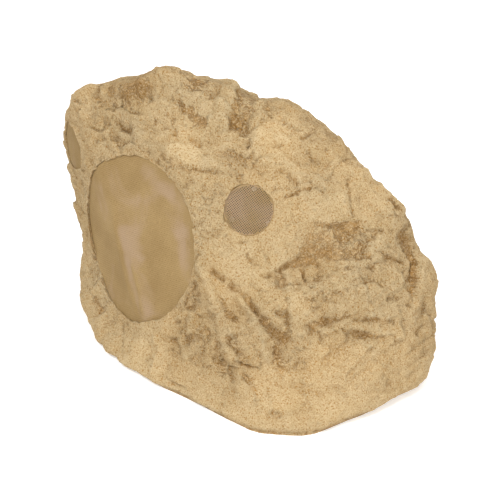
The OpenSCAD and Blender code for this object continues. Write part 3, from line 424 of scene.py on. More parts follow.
def kept_at_openings(p, height):
    """Keeps the skin close to the smooth form beside each opening, where the grille's edge is."""
    bare = over_smooth(p)
    for place, radius, _ in OPENINGS:
        away = EDGE_RISE * np.maximum(np.linalg.norm(p - place[0], axis=1) - radius, 0)
        low = -EDGE_PLAY - away - bare
        height = np.clip(height, low, np.maximum(EDGE_PLAY + away - bare, low))
    return height


def patches_at(p):
    """How far points lie in the smooth patches, from 0 to 1."""
    mask = np.zeros(len(p))
    for centre, reach in SMOOTH_PATCHES:
        d = np.linalg.norm(p - np.array(centre, float), axis=1)
        mask = np.maximum(mask, 1 - eased(d, 0.55 * reach, reach))
    return mask


# The stone's own relief, in millimetres: size and height of each kind
WARP_SIZE, WARP = 50, 8
MIDDLE_SIZE, MIDDLE_HEIGHT = 27, 3.4
SMALL_SIZE, SMALL_HEIGHT = 12, 1.5
LUMP_SIZE, LUMP_HEIGHT = 21, 0.8
GRIT_SIZE, GRIT_HEIGHT = 7, 0.5
WOBBLE_SIZE, WOBBLE = 9, 2.2
# Heights between which the smooth skirt ends, and distances between which the relief starts at the gland
SKIRT_LOW, SKIRT_HIGH = 14, 60
GLAND_NEAR, GLAND_FAR = 20, 50


def relief(p):
    """Height of the stone's own relief, how smooth the stone is, and its tone from dark to pale, with painted
    shade in hollows, creases and under ledges and painted highlight on ledges and ridges.
    """
    warp = WARP * np.stack([octaves(p / WARP_SIZE, 300 + k, 2, 0.35) for k in range(3)], -1)
    q = p + warp
    skirt = 1 - eased(p[:, 2], SKIRT_LOW, SKIRT_HIGH)
    calm = np.clip(0.62 * skirt + patches_at(q) + 0.55 * eased(octaves(p / 70, 41, 2), 0.1, 0.5), 0, 0.92)
    middle = facets(q / MIDDLE_SIZE * [1, 1, 1.35], 23, 0.14, 1.1)
    small = facets(q / SMALL_SIZE * [1, 1, 1.2], 37, 0.16, 1.3)
    height = MIDDLE_HEIGHT * middle * (1 - 0.7 * calm) + SMALL_HEIGHT * small * (1 - 0.8 * calm)
    height += LUMP_HEIGHT * octaves(p / LUMP_SIZE, 51, 3, 0.5) * (1 - 0.6 * calm)
    height += GRIT_HEIGHT * octaves(p / GRIT_SIZE, 61, 2, 0.6) * (1 - 0.8 * calm)
    tone, wander = np.zeros(len(p)), 1 + 0.5 * octaves(p / 12, 71, 2)
    wobble = WOBBLE * np.stack([octaves(p / WOBBLE_SIZE, 320 + k, 2) for k in range(3)], -1)
    for points, width, rise, shade in MARKS:
        near = np.exp(-((along(points, p + 0.4 * warp + wobble) / width) ** 2)) * wander
        height += rise * near
        tone += shade * near
    place = p + 0.2 * warp + wobble
    for points, high_side, reach, rise in LEDGES:
        far, above = along(points, place, high_side)
        height += rise * np.exp(-((far / np.where(above, reach, LEDGE_FALL)) ** 2)) * wander
        # painted highlight on the ledge's high side and a painted shadow line below its edge
        shade_reach = np.where(above, 0.7 * reach, LEDGE_SHADE)
        tone += np.where(above, *LEDGE_HIGHLIGHT_AND_SHADOW) * np.exp(-((far / shade_reach) ** 2))
    height *= 0.2 + 0.8 * eased(np.linalg.norm(p - GLAND, axis=1), GLAND_NEAR, GLAND_FAR)
    return kept_at_openings(p, height), calm, tone


# mesh helpers
def link(obj):
    bpy.context.scene.collection.objects.link(obj)
    return obj


def mesh_object(name, vertices, faces):
    """A new object from points in millimetres and their faces."""
    mesh = bpy.data.meshes.new(name)
    mesh.from_pydata([tuple(v) for v in np.asarray(vertices, float) * MM], [], faces)
    mesh.validate()
    mesh.update()
    return link(bpy.data.objects.new(name, mesh))


def coordinates(mesh):
    co = np.zeros(len(mesh.vertices) * 3)
    mesh.vertices.foreach_get("co", co)
    return co.reshape(-1, 3)


def set_coordinates(mesh, co):
    mesh.vertices.foreach_set("co", np.asarray(co, np.float32).ravel())
    mesh.update()


def applied(obj):
    """Puts the modifiers of an object into its mesh."""
    graph = bpy.context.evaluated_depsgraph_get()
    mesh = bpy.data.meshes.new_from_object(obj.evaluated_get(graph), depsgraph=graph)
    obj.modifiers.clear()
    old = obj.data
    obj.data = mesh
    bpy.data.meshes.remove(old)


def carve(obj, cutter, operation="DIFFERENCE"):
    modifier = obj.modifiers.new("carve", "BOOLEAN")
    modifier.operation, modifier.solver, modifier.object = operation, "MANIFOLD", cutter
    applied(obj)


def dropped(obj):
    bpy.data.objects.remove(obj)


# Rises of the lowest and the highest row of a closed skin
LOWEST_RISE, HIGHEST_RISE = -89.0, 89.5


def closed_form(name, columns, rows, depth=0.0, rough=True):
    """A closed skin of the form, from a low rise up to the top."""
    rises = np.linspace(LOWEST_RISE, HIGHEST_RISE, rows)
    bearings = np.arange(columns) * 360 / columns
    b, r = np.meshgrid(bearings, rises)
    u = unit(b.ravel(), r.ravel())
    depths = depth + FORM_SCALE[0] * foot_at(r.ravel()) if depth else 0.0
    points = form_points(u, depths, rough)
    faces = []
    for i in range(rows - 1):
        for j in range(columns):
            a, c = i * columns + j, i * columns + (j + 1) % columns
            faces.append((a, c, c + columns, a + columns))
    top = points[-columns:].mean(0)
    bottom = points[:columns].mean(0)
    n = len(points)
    last = (rows - 1) * columns
    faces += [(last + j, last + (j + 1) % columns, n) for j in range(columns)]
    faces += [((j + 1) % columns, j, n + 1) for j in range(columns)]
    return mesh_object(name, np.vstack([points, top, bottom]), faces)


# Section of the gland's recess: flare past its radius, and height over the skin
GLAND_EDGE = [(0, -GLAND_SEAT), (0, -3.0), (0.5, -1.2), (1.8, 0.6), (4.0, 2.4), (6.0, 9.0)]
GLAND_STEPS = 96


def gland_cutter():
    """Cuts the round recess of the cable gland, with an eased edge."""
    angle = np.arange(GLAND_STEPS) * 2 * math.pi / GLAND_STEPS
    rings = []
    for flare, out in GLAND_EDGE:
        r = GLAND_RADIUS + flare
        ring = [-np.cos(angle) * r, np.full(GLAND_STEPS, out), np.sin(angle) * r]
        rings.append(GLAND + np.stack(ring, -1))
    return stacked("gland_cut", rings)


def stacked(name, rings):
    """A closed form from rings of points, one above the other."""
    steps, n = len(rings[0]), len(rings)
    faces = [(i * steps + j, i * steps + (j + 1) % steps,
              (i + 1) * steps + (j + 1) % steps, (i + 1) * steps + j)
             for i in range(n - 1) for j in range(steps)]
    faces += [tuple(range(steps))[::-1], tuple(range((n - 1) * steps, n * steps))]
    return mesh_object(name, np.vstack(rings), faces)


# faces of the openings
GRILLE_INSET, GRILLE_GAP = 2.0, 0.4
# Lip of stone over a grille's edge: gap over the sheet, least and greatest width
LIP_OVER, LIP_LEAST, LIP_MOST = 0.4, 0.2, 2.6
LIP_TOP = 30.0
# Heights between which a face is looked for, and the number of halvings
FACE_LOW, FACE_HIGH, HALVINGS = -60.0, 20.0, 16


def face_heights(place, xy):
    """Heights of the smooth face over a driver's plane, found by halving."""
    origin, side, up, out = place
    low, high = np.full(len(xy), FACE_LOW), np.full(len(xy), FACE_HIGH)
    flat = origin + xy[:, :1] * side + xy[:, 1:2] * up
    for _ in range(HALVINGS):
        middle = (low + high) / 2
        above = over_smooth(flat + middle[:, None] * out) > 0
        high, low = np.where(above, middle, high), np.where(above, low, middle)
    return (low + high) / 2


def opening_cutter(place, radius, seat, steps):
    """Cuts an opening, round behind the grille's face, with a ragged lip of stone over the grille's edge."""
    origin, side, up, out = place
    angle = np.arange(steps) * 2 * math.pi / steps
    ring = np.stack([np.cos(angle), np.sin(angle)], -1)
    around = np.column_stack([ring * radius, np.full(steps, place[0][0])])
    ragged = eased(octaves(around / 14, 81, 4, 0.6), -0.35, 0.45)
    lip = (radius - LIP_LEAST - (LIP_MOST - LIP_LEAST) * ragged)[:, None]
    face = face_heights(place, ring * radius) - GRILLE_INSET + LIP_OVER
    rings = []
    for wide, height in ((radius, -seat), (radius, face), (lip, face), (lip, LIP_TOP)):
        xy = ring * wide
        rings.append(origin + xy[:, :1] * side + xy[:, 1:] * up + np.reshape(height, (-1, 1)) * out)
    return stacked("cut", rings)


# the boulder
VOXEL = 2.45
RELIEF_LOW, RELIEF_HIGH = -8.5, 6.0
# A ray that slants more than this over the skin counts as slanting this much
LEAST_SQUARE = 0.45
# Rise over which the relief starts at the foot
FOOT_START = 1.2
BOX_MARGIN = 0.1
# Depths below the smooth form at which the fine skin ends and the solid's inner side is joined to it
SKIN_DEPTH, CORE_DEPTH = 8.0, 6.0
# Size of the block that cuts off what lies under the ground
GROUND_REACH, GROUND_DEPTH = 400, 90
# Steps around the large opening and a small one
LARGE_STEPS, SMALL_STEPS = 288, 120


def fine_skin():
    """The boulder's outer skin as an even mesh with the stone's relief."""
    skin = closed_form("boulder", 240, 150)
    remesh = skin.modifiers.new("even", "REMESH")
    remesh.mode, remesh.voxel_size = "VOXEL", VOXEL * MM
    applied(skin)
    u = directions_of(coordinates(skin.data) / MM)
    base = form_points(u)
    height = relief(base)[0]
    # the relief stands square to the skin, so it is longer along a slanting ray
    set_coordinates(skin.data, base * MM)
    normals = np.zeros(len(u) * 3)
    skin.data.vertices.foreach_get("normal", normals)
    ray = u * FORM_SCALE
    ray /= np.linalg.norm(ray, axis=1, keepdims=True)
    square = np.clip((normals.reshape(-1, 3) * ray).sum(1), LEAST_SQUARE, 1)
    _, rise = angles_of(u)
    height = np.clip(height, RELIEF_LOW, RELIEF_HIGH)
    height = height * (1 - 0.8 * np.exp(-(np.maximum(rise, 0) / FOOT_START) ** 2))
    low, high = (np.array(c) / MM for c in cad_bounds)
    points = base + ray * (height / square)[:, None]
    points[:, :2] = np.clip(points[:, :2], low[:2] + BOX_MARGIN, high[:2] - BOX_MARGIN)
    points[:, 2] = np.minimum(points[:, 2], high[2] - BOX_MARGIN)
    set_coordinates(skin.data, points * MM)
    return skin


def ground_cutter():
    """Cuts off what lies under the ground."""
    corners = [(x, y, z) for z in (-GROUND_DEPTH, 0) for y in (-GROUND_REACH, GROUND_REACH)
               for x in (-GROUND_REACH, GROUND_REACH)]
    sides = [(0, 2, 3, 1), (4, 5, 7, 6), (0, 1, 5, 4), (2, 6, 7, 3), (0, 4, 6, 2), (1, 3, 7, 5)]
    return mesh_object("ground_cut", corners, sides)


def boulder():
    """The boulder as one closed shell: fine outside, and inside the same as the solid."""
    rock = fine_skin()
    ground = ground_cutter()
    carve(rock, ground)
    hollow = closed_form("hollow", 96, 80, SKIN_DEPTH, rough=False)
    carve(rock, hollow)
    core = closed_form("core", 96, 80, CORE_DEPTH, rough=False)
    inner = link(bpy.data.objects.new("inner", NODES["rock_shell"].data.copy()))
    merge_doubles(inner)
    carve(inner, core, "INTERSECT")
    carve(rock, inner, "UNION")
    cutters = [opening_cutter(place, radius, seat, LARGE_STEPS if place is WOOFER else SMALL_STEPS)
               for place, radius, seat in OPENINGS] + [gland_cutter()]
    for cutter in cutters:
        carve(rock, cutter)
    for spare in [ground, hollow, core, inner] + cutters:
        dropped(spare)
    return rock


def merge_doubles(obj):
    work = bmesh.new()
    work.from_mesh(obj.data)
    bmesh.ops.remove_doubles(work, verts=work.verts, dist=1e-6)
    work.to_mesh(obj.data)
    work.free()


def hollows(mesh, height, rounds):
    """How far each point lies below the skin around it, in the unit of the heights."""
    ends = np.zeros(len(mesh.edges) * 2, np.int32)
    mesh.edges.foreach_get("vertices", ends)
    a, b = ends.reshape(-1, 2).T
    n = len(height)
    count = np.maximum(np.bincount(a, minlength=n) + np.bincount(b, minlength=n), 1)
    even = height
    for _ in range(rounds):
        around = (np.bincount(a, even[b], n) + np.bincount(b, even[a], n)) / count
        even = (even + around) / 2
    return even - height


rock = boulder()


# grilles
SHEET_THICK, RIM_WIDTH, RIM_STEPS = 1.2, 1.2, 192


def socket(tree, name, kind, way="INPUT", default=None):
    item = tree.interface.new_socket(name, in_out=way, socket_type=kind)
    if default is not None:
        item.default_value = default
    return item


def add(tree, kind, links=(), **settings):
    """Adds a node: settings are properties or named inputs, and links go to inputs."""
    made = tree.nodes.new(kind)
    for key, value in settings.items():
        if hasattr(made, key):
            setattr(made, key, value)
        else:
            made.inputs[key.replace("_", " ")].default_value = value
    for source, target in links:
        tree.links.new(source, made.inputs[target])
    return made


def maths(tree, operation, a, b=None, clamp=False):
    made = add(tree, "ShaderNodeMath", operation=operation, use_clamp=clamp)
    for i, value in enumerate((a, b)):
        if value is None:
            continue
        if isinstance(value, (int, float)):
            made.inputs[i].default_value = value
        else:
            tree.links.new(value, made.inputs[i])
    return made.outputs[0]


def perforated_tree():
    """A flat round sheet with square holes: a grid of cells, each with its middle taken out."""
    tree = bpy.data.node_groups.new("perforated sheet", "GeometryNodeTree")
    socket(tree, "Geometry", "NodeSocketGeometry")
    socket(tree, "Radius", "NodeSocketFloat", default=0.1)
    socket(tree, "Pitch", "NodeSocketFloat", default=0.002)
    socket(tree, "Open share", "NodeSocketFloat", default=0.5)
    socket(tree, "Turn", "NodeSocketRotation")
    socket(tree, "Material", "NodeSocketMaterial")
    socket(tree, "Geometry", "NodeSocketGeometry", "OUTPUT")
    given = add(tree, "NodeGroupInput").outputs
    radius, pitch = given["Radius"], given["Pitch"]
    across = maths(tree, "MULTIPLY", radius, 2.04)
    count = maths(tree, "ROUND", maths(tree, "DIVIDE", across, pitch))
    grid = add(tree, "GeometryNodeMeshGrid", [(across, "Size X"), (across, "Size Y"),
                                              (count, "Vertices X"), (count, "Vertices Y")])
    turned = add(tree, "GeometryNodeTransform", [(grid.outputs["Mesh"], "Geometry"),
                                                 (given["Turn"], "Rotation")])
    place = add(tree, "GeometryNodeInputPosition").outputs[0]
    reach = add(tree, "ShaderNodeVectorMath", [(place, 0)], operation="LENGTH").outputs["Value"]
    past_edge = maths(tree, "ADD", radius, maths(tree, "MULTIPLY", pitch, 0.1))
    beyond = maths(tree, "GREATER_THAN", reach, past_edge)
    disc = add(tree, "GeometryNodeDeleteGeometry", [(turned.outputs[0], "Geometry"), (beyond, "Selection")],
               domain="FACE")
    edge = maths(tree, "SUBTRACT", radius, maths(tree, "MULTIPLY", pitch, 0.9))
    inside = maths(tree, "LESS_THAN", reach, edge)
    cells = add(tree, "GeometryNodeExtrudeMesh", [(disc.outputs[0], "Mesh"), (inside, "Selection")],
                mode="FACES", Offset_Scale=0.0)
    cells.inputs["Individual"].default_value = True
    holes = add(tree, "GeometryNodeScaleElements",
                [(cells.outputs["Mesh"], "Geometry"), (cells.outputs["Top"], "Selection"),
                 (given["Open share"], "Scale")], domain="FACE")
    opened = add(tree, "GeometryNodeDeleteGeometry",
                 [(holes.outputs[0], "Geometry"), (cells.outputs["Top"], "Selection")], domain="FACE")
    limit = maths(tree, "MINIMUM", maths(tree, "DIVIDE", radius, reach), 1.0)
    round_edge = add(tree, "ShaderNodeVectorMath", [(place, 0), (limit, "Scale")], operation="SCALE")
    snapped = add(tree, "GeometryNodeSetPosition", [(opened.outputs[0], "Geometry"),
                                                    (round_edge.outputs[0], "Position")])
    real = add(tree, "GeometryNodeRealizeInstances", [(snapped.outputs[0], "Geometry")])
    painted = add(tree, "GeometryNodeSetMaterial", [(real.outputs[0], "Geometry"),
                                                    (given["Material"], "Material")])
    add(tree, "NodeGroupOutput", [(painted.outputs[0], 0)])
    return tree


PERFORATED = perforated_tree()


# Folds and bare patches of the large grille, in its own plane: places, half width, height, bareness
SHEET_MARKS = [
    ([(-38, 30), (-30, 2), (-8, -45), (22, -86)], 6, 1.0, -0.3),
    ([(-26, 6), (0, -38), (18, -62)], 8, -1.2, 0.3),
    ([(6, -30), (22, -52), (34, -78)], 4, 1.0, -0.3),
    ([(20, 30), (34, 33)], 2.5, 1.6, -0.8),
    ([(0, 84), (44, 68), (70, 34), (82, 0)], 12, -0.7, 0.8),
    ([(-14, -2), (12, -20), (36, -46), (44, -70)], 20, -0.6, 0.6),
    ([(38, 12), (60, -40)], 14, 0.8, -0.3),
]


def bent_to(place, flat, drops=0.0, folds=()):
    """Points of a flat sheet laid into the face of the boulder, below it by the grille's inset."""
    origin, side, up, out = place
    heights = face_heights(place, flat[:, :2]) - GRILLE_INSET - drops
    for points, width, rise, _ in folds:
        heights = heights + rise * np.exp(-((along(points, flat[:, :2]) / width) ** 2))
    return origin + flat[:, :1] * side + flat[:, 1:2] * up + heights[:, None] * out


def rim_profile(rim):
    """Section of a grille's folded rim: distance in from the edge, and depth below the sheet's face."""
    return [(RIM_WIDTH, -0.08), (0.7, -0.08), (0.2, 0.15), (0, 0.7), (0, rim), (1.0, rim), (1.0, 1.9),
            (RIM_WIDTH, 1.5)]


def grille(node, place, opening, rim, pitch, share, turn, material, folds=(), bare=0.0):
    """A perforated sheet with a folded rim, laid into the face of the boulder."""
    radius = opening - GRILLE_GAP
    sheet = mesh_object(node + "_sheet", np.zeros((0, 3)), [])
    modifier = sheet.modifiers.new("perforated", "NODES")
    modifier.node_group = PERFORATED
    names = {i.name: i.identifier for i in PERFORATED.interface.items_tree if i.in_out == "INPUT"}
    modifier[names["Radius"]] = (radius - RIM_WIDTH / 2) * MM
    modifier[names["Pitch"]] = pitch * MM
    modifier[names["Open share"]] = share
    modifier[names["Turn"]] = (0, 0, math.radians(turn))
    modifier[names["Material"]] = material
    applied(sheet)
    flat = coordinates(sheet.data) / MM
    set_coordinates(sheet.data, bent_to(place, flat, 0.0, folds) * MM)
    bareness = np.full(len(flat), bare)
    for points, width, _, change in folds:
        bareness += change * np.exp(-((along(points, flat[:, :2]) / width) ** 2))
    sheet.data.attributes.new("bare", "FLOAT", "POINT").data.foreach_set("value", bareness.astype(np.float32))
    thick = sheet.modifiers.new("thickness", "SOLIDIFY")
    thick.thickness, thick.offset = SHEET_THICK * MM, -1
    face_outwards(sheet, place[3])
    applied(sheet)
    fold, steps, points = rim_profile(rim), RIM_STEPS, []
    angle = np.arange(steps) * 2 * math.pi / steps
    for back, drop in fold:
        circle = np.stack([np.cos(angle), np.sin(angle)], -1) * (radius - back)
        points.append(bent_to(place, circle, drop))
    n = len(fold)
    faces = [(i * steps + j, (i + 1) % n * steps + j, (i + 1) % n * steps + (j + 1) % steps,
              i * steps + (j + 1) % steps) for i in range(n) for j in range(steps)]
    ring = mesh_object(node + "_rim", np.vstack(points), faces)
    ring.data.materials.append(material)
    for piece in (sheet, ring):
        outward(piece)
        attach(piece, "speaker")
        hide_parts(node)
    smooth_by_angle(ring, 40)
    smooth_by_angle(sheet, 30)


def face_outwards(obj, out):
    """Turns the faces of an open sheet so that they look along a direction."""
    work = bmesh.new()
    work.from_mesh(obj.data)
    bmesh.ops.recalc_face_normals(work, faces=work.faces)
    facing = sum(f.normal.dot(Vector(out)) * f.calc_area() for f in work.faces)
    if facing < 0:
        bmesh.ops.reverse_faces(work, faces=work.faces)
    work.to_mesh(obj.data)
    work.free()


def outward(obj):
    """Makes the normals of a closed mesh point outwards."""
    work = bmesh.new()
    work.from_mesh(obj.data)
    bmesh.ops.recalc_face_normals(work, faces=work.faces)
    if work.calc_volume(signed=True) < 0:
        bmesh.ops.reverse_faces(work, faces=work.faces)
    work.to_mesh(obj.data)
    work.free()


def smooth_by_angle(obj, angle):
    obj.data.shade_smooth()
    obj.data.set_sharp_from_angle(angle=math.radians(angle))


# soft rings of the large driver
# Height of the driver's seat over its opening's face; the other heights start from the seat
RING_BASE = -56.0
CONE_TOP, SURROUND_THICK = 3.0, 0.8
ROLL_IN, ROLL_OUT, CONE_LIP, FRAME_LIP = 76.0, 84.7, 3.5, 3.0
SPIDER_BASE, SPIDER_THICK, SPIDER_WAVE, SPIDER_WAVES = -39.46, 0.7, 1.4, 4
SPIDER_IN, WAVE_IN, WAVE_OUT, SPIDER_OUT = 19.45, 23.45, 50.0, 61.3


def surround_profile():
    """Rubber roll between two flat lips: radius and height above the seat."""
    middle, roll = (ROLL_IN + ROLL_OUT) / 2, (ROLL_OUT - ROLL_IN) / 2
    turn = np.radians(np.linspace(180, 0, 19))
    top = CONE_TOP + SURROUND_THICK
    thick = math.acos(SURROUND_THICK / (roll + SURROUND_THICK)) - math.pi / 2
    outer = np.linspace(math.pi + thick, -thick, 19)
    crown = roll + SURROUND_THICK
    over = [(middle + crown * math.cos(a), CONE_TOP + crown * math.sin(a)) for a in outer]
    under = [(middle + roll * math.cos(a), CONE_TOP + roll * math.sin(a)) for a in turn[::-1]]
    return ([(ROLL_IN - CONE_LIP, CONE_TOP), (ROLL_IN - CONE_LIP, top)] + over
            + [(ROLL_OUT + FRAME_LIP, top), (ROLL_OUT + FRAME_LIP, CONE_TOP)] + under)


def spider_profile():
    """Waved cloth between two flat lips: radius and height above the seat."""
    t = np.linspace(0, 1, 12 * SPIDER_WAVES + 1)
    radius = WAVE_IN + (WAVE_OUT - WAVE_IN) * t
    height = SPIDER_BASE + SPIDER_WAVE * np.sin(2 * np.pi * SPIDER_WAVES * t)
    line = [(SPIDER_IN, SPIDER_BASE)] + list(zip(radius, height)) + [(SPIDER_OUT, SPIDER_BASE)]
    return [(r, h + SPIDER_THICK) for r, h in line] + line[::-1]


def soft_ring(node, profile, count, steps, slot_name):
    """A soft ring in closed sectors, each spanning from the basket to the cone."""
    origin, side, up, out = WOOFER
    r, h = np.array(profile).T
    n, half = len(r), math.pi / count
    for k in range(count):
        middle = 2 * half * (k + 0.5)
        sections = []
        for angle in middle + np.linspace(-half, half, steps + 1):
            spoke = side * math.cos(angle) + up * math.sin(angle)
            sections.append(origin + np.outer(r, spoke) + np.outer(h + RING_BASE, out))
        faces = [(i * n + j, i * n + (j + 1) % n, (i + 1) * n + (j + 1) % n, (i + 1) * n + j)
                 for i in range(steps) for j in range(n)]
        faces += [tuple(range(n))[::-1], tuple(range(steps * n, (steps + 1) * n))]
        piece = mesh_object(f"{node}_{k + 1:02d}", np.vstack(sections), faces)
        outward(piece)
        smooth_by_angle(piece, 40)
        piece.data.materials.append(MATERIALS[slot_name])
        spoke = side * math.cos(middle) + up * math.sin(middle)
        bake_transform(piece)
        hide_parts(node)


# materials
def colour(r, g, b):
    """A colour as read off a picture, 0 to 255, made linear."""
    return tuple((c / 255 / 12.92) if c / 255 <= 0.04045 else ((c / 255 + 0.055) / 1.055) ** 2.4
                 for c in (r, g, b)) + (1.0,)


# The hollow colour gives both the painted shade in hollows and creases and the stone's random stains and dark
# grains; the pale colour gives both the painted highlight on ledges and ridges and the pale grains and flecks
STONE_COLOURS = {
    "sand": colour(200, 176, 135), "shade": colour(192, 165, 121), "ochre": colour(188, 153, 103),
    "hollow": colour(163, 118, 55), "pale": colour(220, 200, 160), "pit": colour(128, 83, 28),
}


def group(name, inputs, outputs):
    tree = bpy.data.node_groups.new(name, "ShaderNodeTree")
    for label, kind, default in inputs:
        socket(tree, label, "NodeSocket" + kind, default=default)
    for label, kind in outputs:
        socket(tree, label, "NodeSocket" + kind, "OUTPUT")
    return tree, add(tree, "NodeGroupInput").outputs


def noise(tree, vector, scale, detail=4.0, roughness=0.6, distortion=0.0):
    return add(tree, "ShaderNodeTexNoise", [(vector, "Vector")], Scale=scale, Detail=detail,
               Roughness=roughness, Distortion=distortion).outputs["Fac"]


def spread(tree, value, low, high, to_low=0.0, to_high=1.0):
    made = add(tree, "ShaderNodeMapRange", [(value, "Value")], interpolation_type="SMOOTHSTEP")
    for key, number in (("From Min", low), ("From Max", high), ("To Min", to_low), ("To Max", to_high)):
        made.inputs[key].default_value = number
    return made.outputs["Result"]


def mixed(tree, share, a, b):
    """A mix of two colours, or of outputs that give them."""
    made = add(tree, "ShaderNodeMix", data_type="RGBA")
    for value, key in ((share, 0), (a, 6), (b, 7)):
        if isinstance(value, (int, float, tuple)):
            made.inputs[key].default_value = value
        else:
            tree.links.new(value, made.inputs[key])
    return made.outputs[2]


def stone_group():
    """Sandy stone: pits, grains and clouds of tone, calmer where the moulding is smooth, with painted shade
    in the hollows, creases and under ledges and painted highlight on ledges and ridges.
    """
    tree, given = group("sandy stone", [("Vector", "Vector", None), ("Relief", "Float", 0.0),
                                        ("Calm", "Float", 0.0)], [("Color", "Color"), ("Height", "Float")])
    v, painted_shading_and_tone, calm_in = given["Vector"], given["Relief"], given["Calm"]
    rough = maths(tree, "SUBTRACT", 1.0, maths(tree, "MULTIPLY", calm_in, 0.7))
    grain = noise(tree, v, 640, 2, 0.6)
    coarse = noise(tree, v, 170, 8, 0.72, 0.8)
    flecks = noise(tree, v, 210, 7, 0.75, 1.2)
    cloud = noise(tree, v, 30, 4, 0.6)
    lines = maths(tree, "ABSOLUTE", maths(tree, "SUBTRACT", noise(tree, v, 85, 5, 0.62, 1.6), 0.5))
    # How far a point lies in painted shade or in a dark mark; cracks and pits gather there
    low = spread(tree, painted_shading_and_tone, 0.1, -0.45)
    clouded = spread(tree, cloud, 0.5, 0.7, 0.0, 0.3)
    broken = maths(tree, "ADD", maths(tree, "MULTIPLY", low, 0.9), clouded, clamp=True)
    wide = noise(tree, v, 9, 3, 0.5)
    base = mixed(tree, spread(tree, cloud, 0.34, 0.66), STONE_COLOURS["shade"], STONE_COLOURS["sand"])
    base = mixed(tree, spread(tree, wide, 0.35, 0.65, 0.0, 0.28), base, STONE_COLOURS["ochre"])
    base = mixed(tree, maths(tree, "MULTIPLY", calm_in, 0.3), base, STONE_COLOURS["sand"])
    # painted shade in hollows, creases and under ledges, together with the dark marks
    base = mixed(tree, spread(tree, painted_shading_and_tone, 0.0, -0.8, 0.0, 0.5), base, STONE_COLOURS["hollow"])
    # painted highlight on the brow, ledge tops and ridges, together with the pale marks
    base = mixed(tree, spread(tree, painted_shading_and_tone, 0.05, 0.8, 0.0, 0.35), base, STONE_COLOURS["pale"])
    stain = maths(tree, "MULTIPLY", spread(tree, coarse, 0.46, 0.34, 0.0, 0.3), rough)
    base = mixed(tree, stain, base, STONE_COLOURS["hollow"])
    base = mixed(tree, spread(tree, coarse, 0.56, 0.7, 0.0, 0.25), base, STONE_COLOURS["pale"])
    crack = maths(tree, "MULTIPLY", maths(tree, "MULTIPLY", spread(tree, lines, 0.034, 0.008), broken), rough)
    dense = maths(tree, "ADD", maths(tree, "MULTIPLY", low, 0.55), 0.45)
    pit = maths(tree, "MAXIMUM", maths(tree, "MULTIPLY", spread(tree, flecks, 0.41, 0.34),
                                       maths(tree, "MULTIPLY", rough, dense)),
                maths(tree, "MULTIPLY", crack, 0.7))
    base = mixed(tree, spread(tree, grain, 0.47, 0.33, 0.0, 0.9), base, STONE_COLOURS["hollow"])
    base = mixed(tree, spread(tree, grain, 0.54, 0.67, 0.0, 0.6), base, STONE_COLOURS["pale"])
    base = mixed(tree, maths(tree, "MULTIPLY", pit, 0.75), base, STONE_COLOURS["pit"])
    height = maths(tree, "MULTIPLY", grain, 0.8)
    height = maths(tree, "ADD", height, maths(tree, "MULTIPLY", maths(tree, "MULTIPLY", coarse, rough), 2.6))
    height = maths(tree, "SUBTRACT", height, maths(tree, "MULTIPLY", pit, 0.8))
    add(tree, "NodeGroupOutput", [(base, "Color"), (height, "Height")])
    return tree


def surface_group():
    """Fine mottling and grain for moulded, cast and rolled surfaces."""
    tree, given = group("fine surface", [
        ("Vector", "Vector", None), ("Scale", "Float", 400.0), ("Stretch", "Vector", (1, 1, 1)),
        ("Light", "Color", (1, 1, 1, 1)), ("Dark", "Color", (0, 0, 0, 1))],
        [("Color", "Color"), ("Height", "Float")])
    v = add(tree, "ShaderNodeVectorMath", [(given["Vector"], 0), (given["Stretch"], 1)],
            operation="MULTIPLY").outputs[0]
    fine = add(tree, "ShaderNodeTexNoise", [(v, "Vector"), (given["Scale"], "Scale")], Detail=5.0)
    fine = fine.outputs["Fac"]
    wide = noise(tree, v, 22, 3)
    share = maths(tree, "ADD", maths(tree, "MULTIPLY", fine, 0.55), maths(tree, "MULTIPLY", wide, 0.45))
    base = mixed(tree, spread(tree, share, 0.35, 0.65), given["Dark"], given["Light"])
    add(tree, "NodeGroupOutput", [(base, "Color"), (fine, "Height")])
    return tree


STONE, SURFACE = stone_group(), surface_group()


def new_material(name):
    material = bpy.data.materials.new(name)
    material.use_nodes = True
    tree = material.node_tree
    tree.nodes.clear()
    shader = add(tree, "ShaderNodeBsdfPrincipled")
    add(tree, "ShaderNodeOutputMaterial", [(shader.outputs[0], 0)])
    place = add(tree, "ShaderNodeTexCoord").outputs["Object"]
    return material, tree, shader, place


def bump(tree, shader, height, strength, distance):
    made = add(tree, "ShaderNodeBump", [(height, "Height")], Strength=strength, Distance=distance)
    tree.links.new(made.outputs[0], shader.inputs["Normal"])


def attribute(tree, name):
    return add(tree, "ShaderNodeAttribute", attribute_name=name).outputs["Fac"]


def stone_material():
    material, tree, shader, place = new_material("sandy stone")
    body = add(tree, "ShaderNodeGroup", node_tree=STONE)
    tree.links.new(place, body.inputs["Vector"])
    tree.links.new(attribute(tree, "relief"), body.inputs["Relief"])
    tree.links.new(attribute(tree, "calm"), body.inputs["Calm"])
    tree.links.new(body.outputs["Color"], shader.inputs["Base Color"])
    shader.inputs["Roughness"].default_value = 0.93
    shader.inputs["Specular IOR Level"].default_value = 0.2
    bump(tree, shader, body.outputs["Height"], 1.0, 0.0016)
    return material


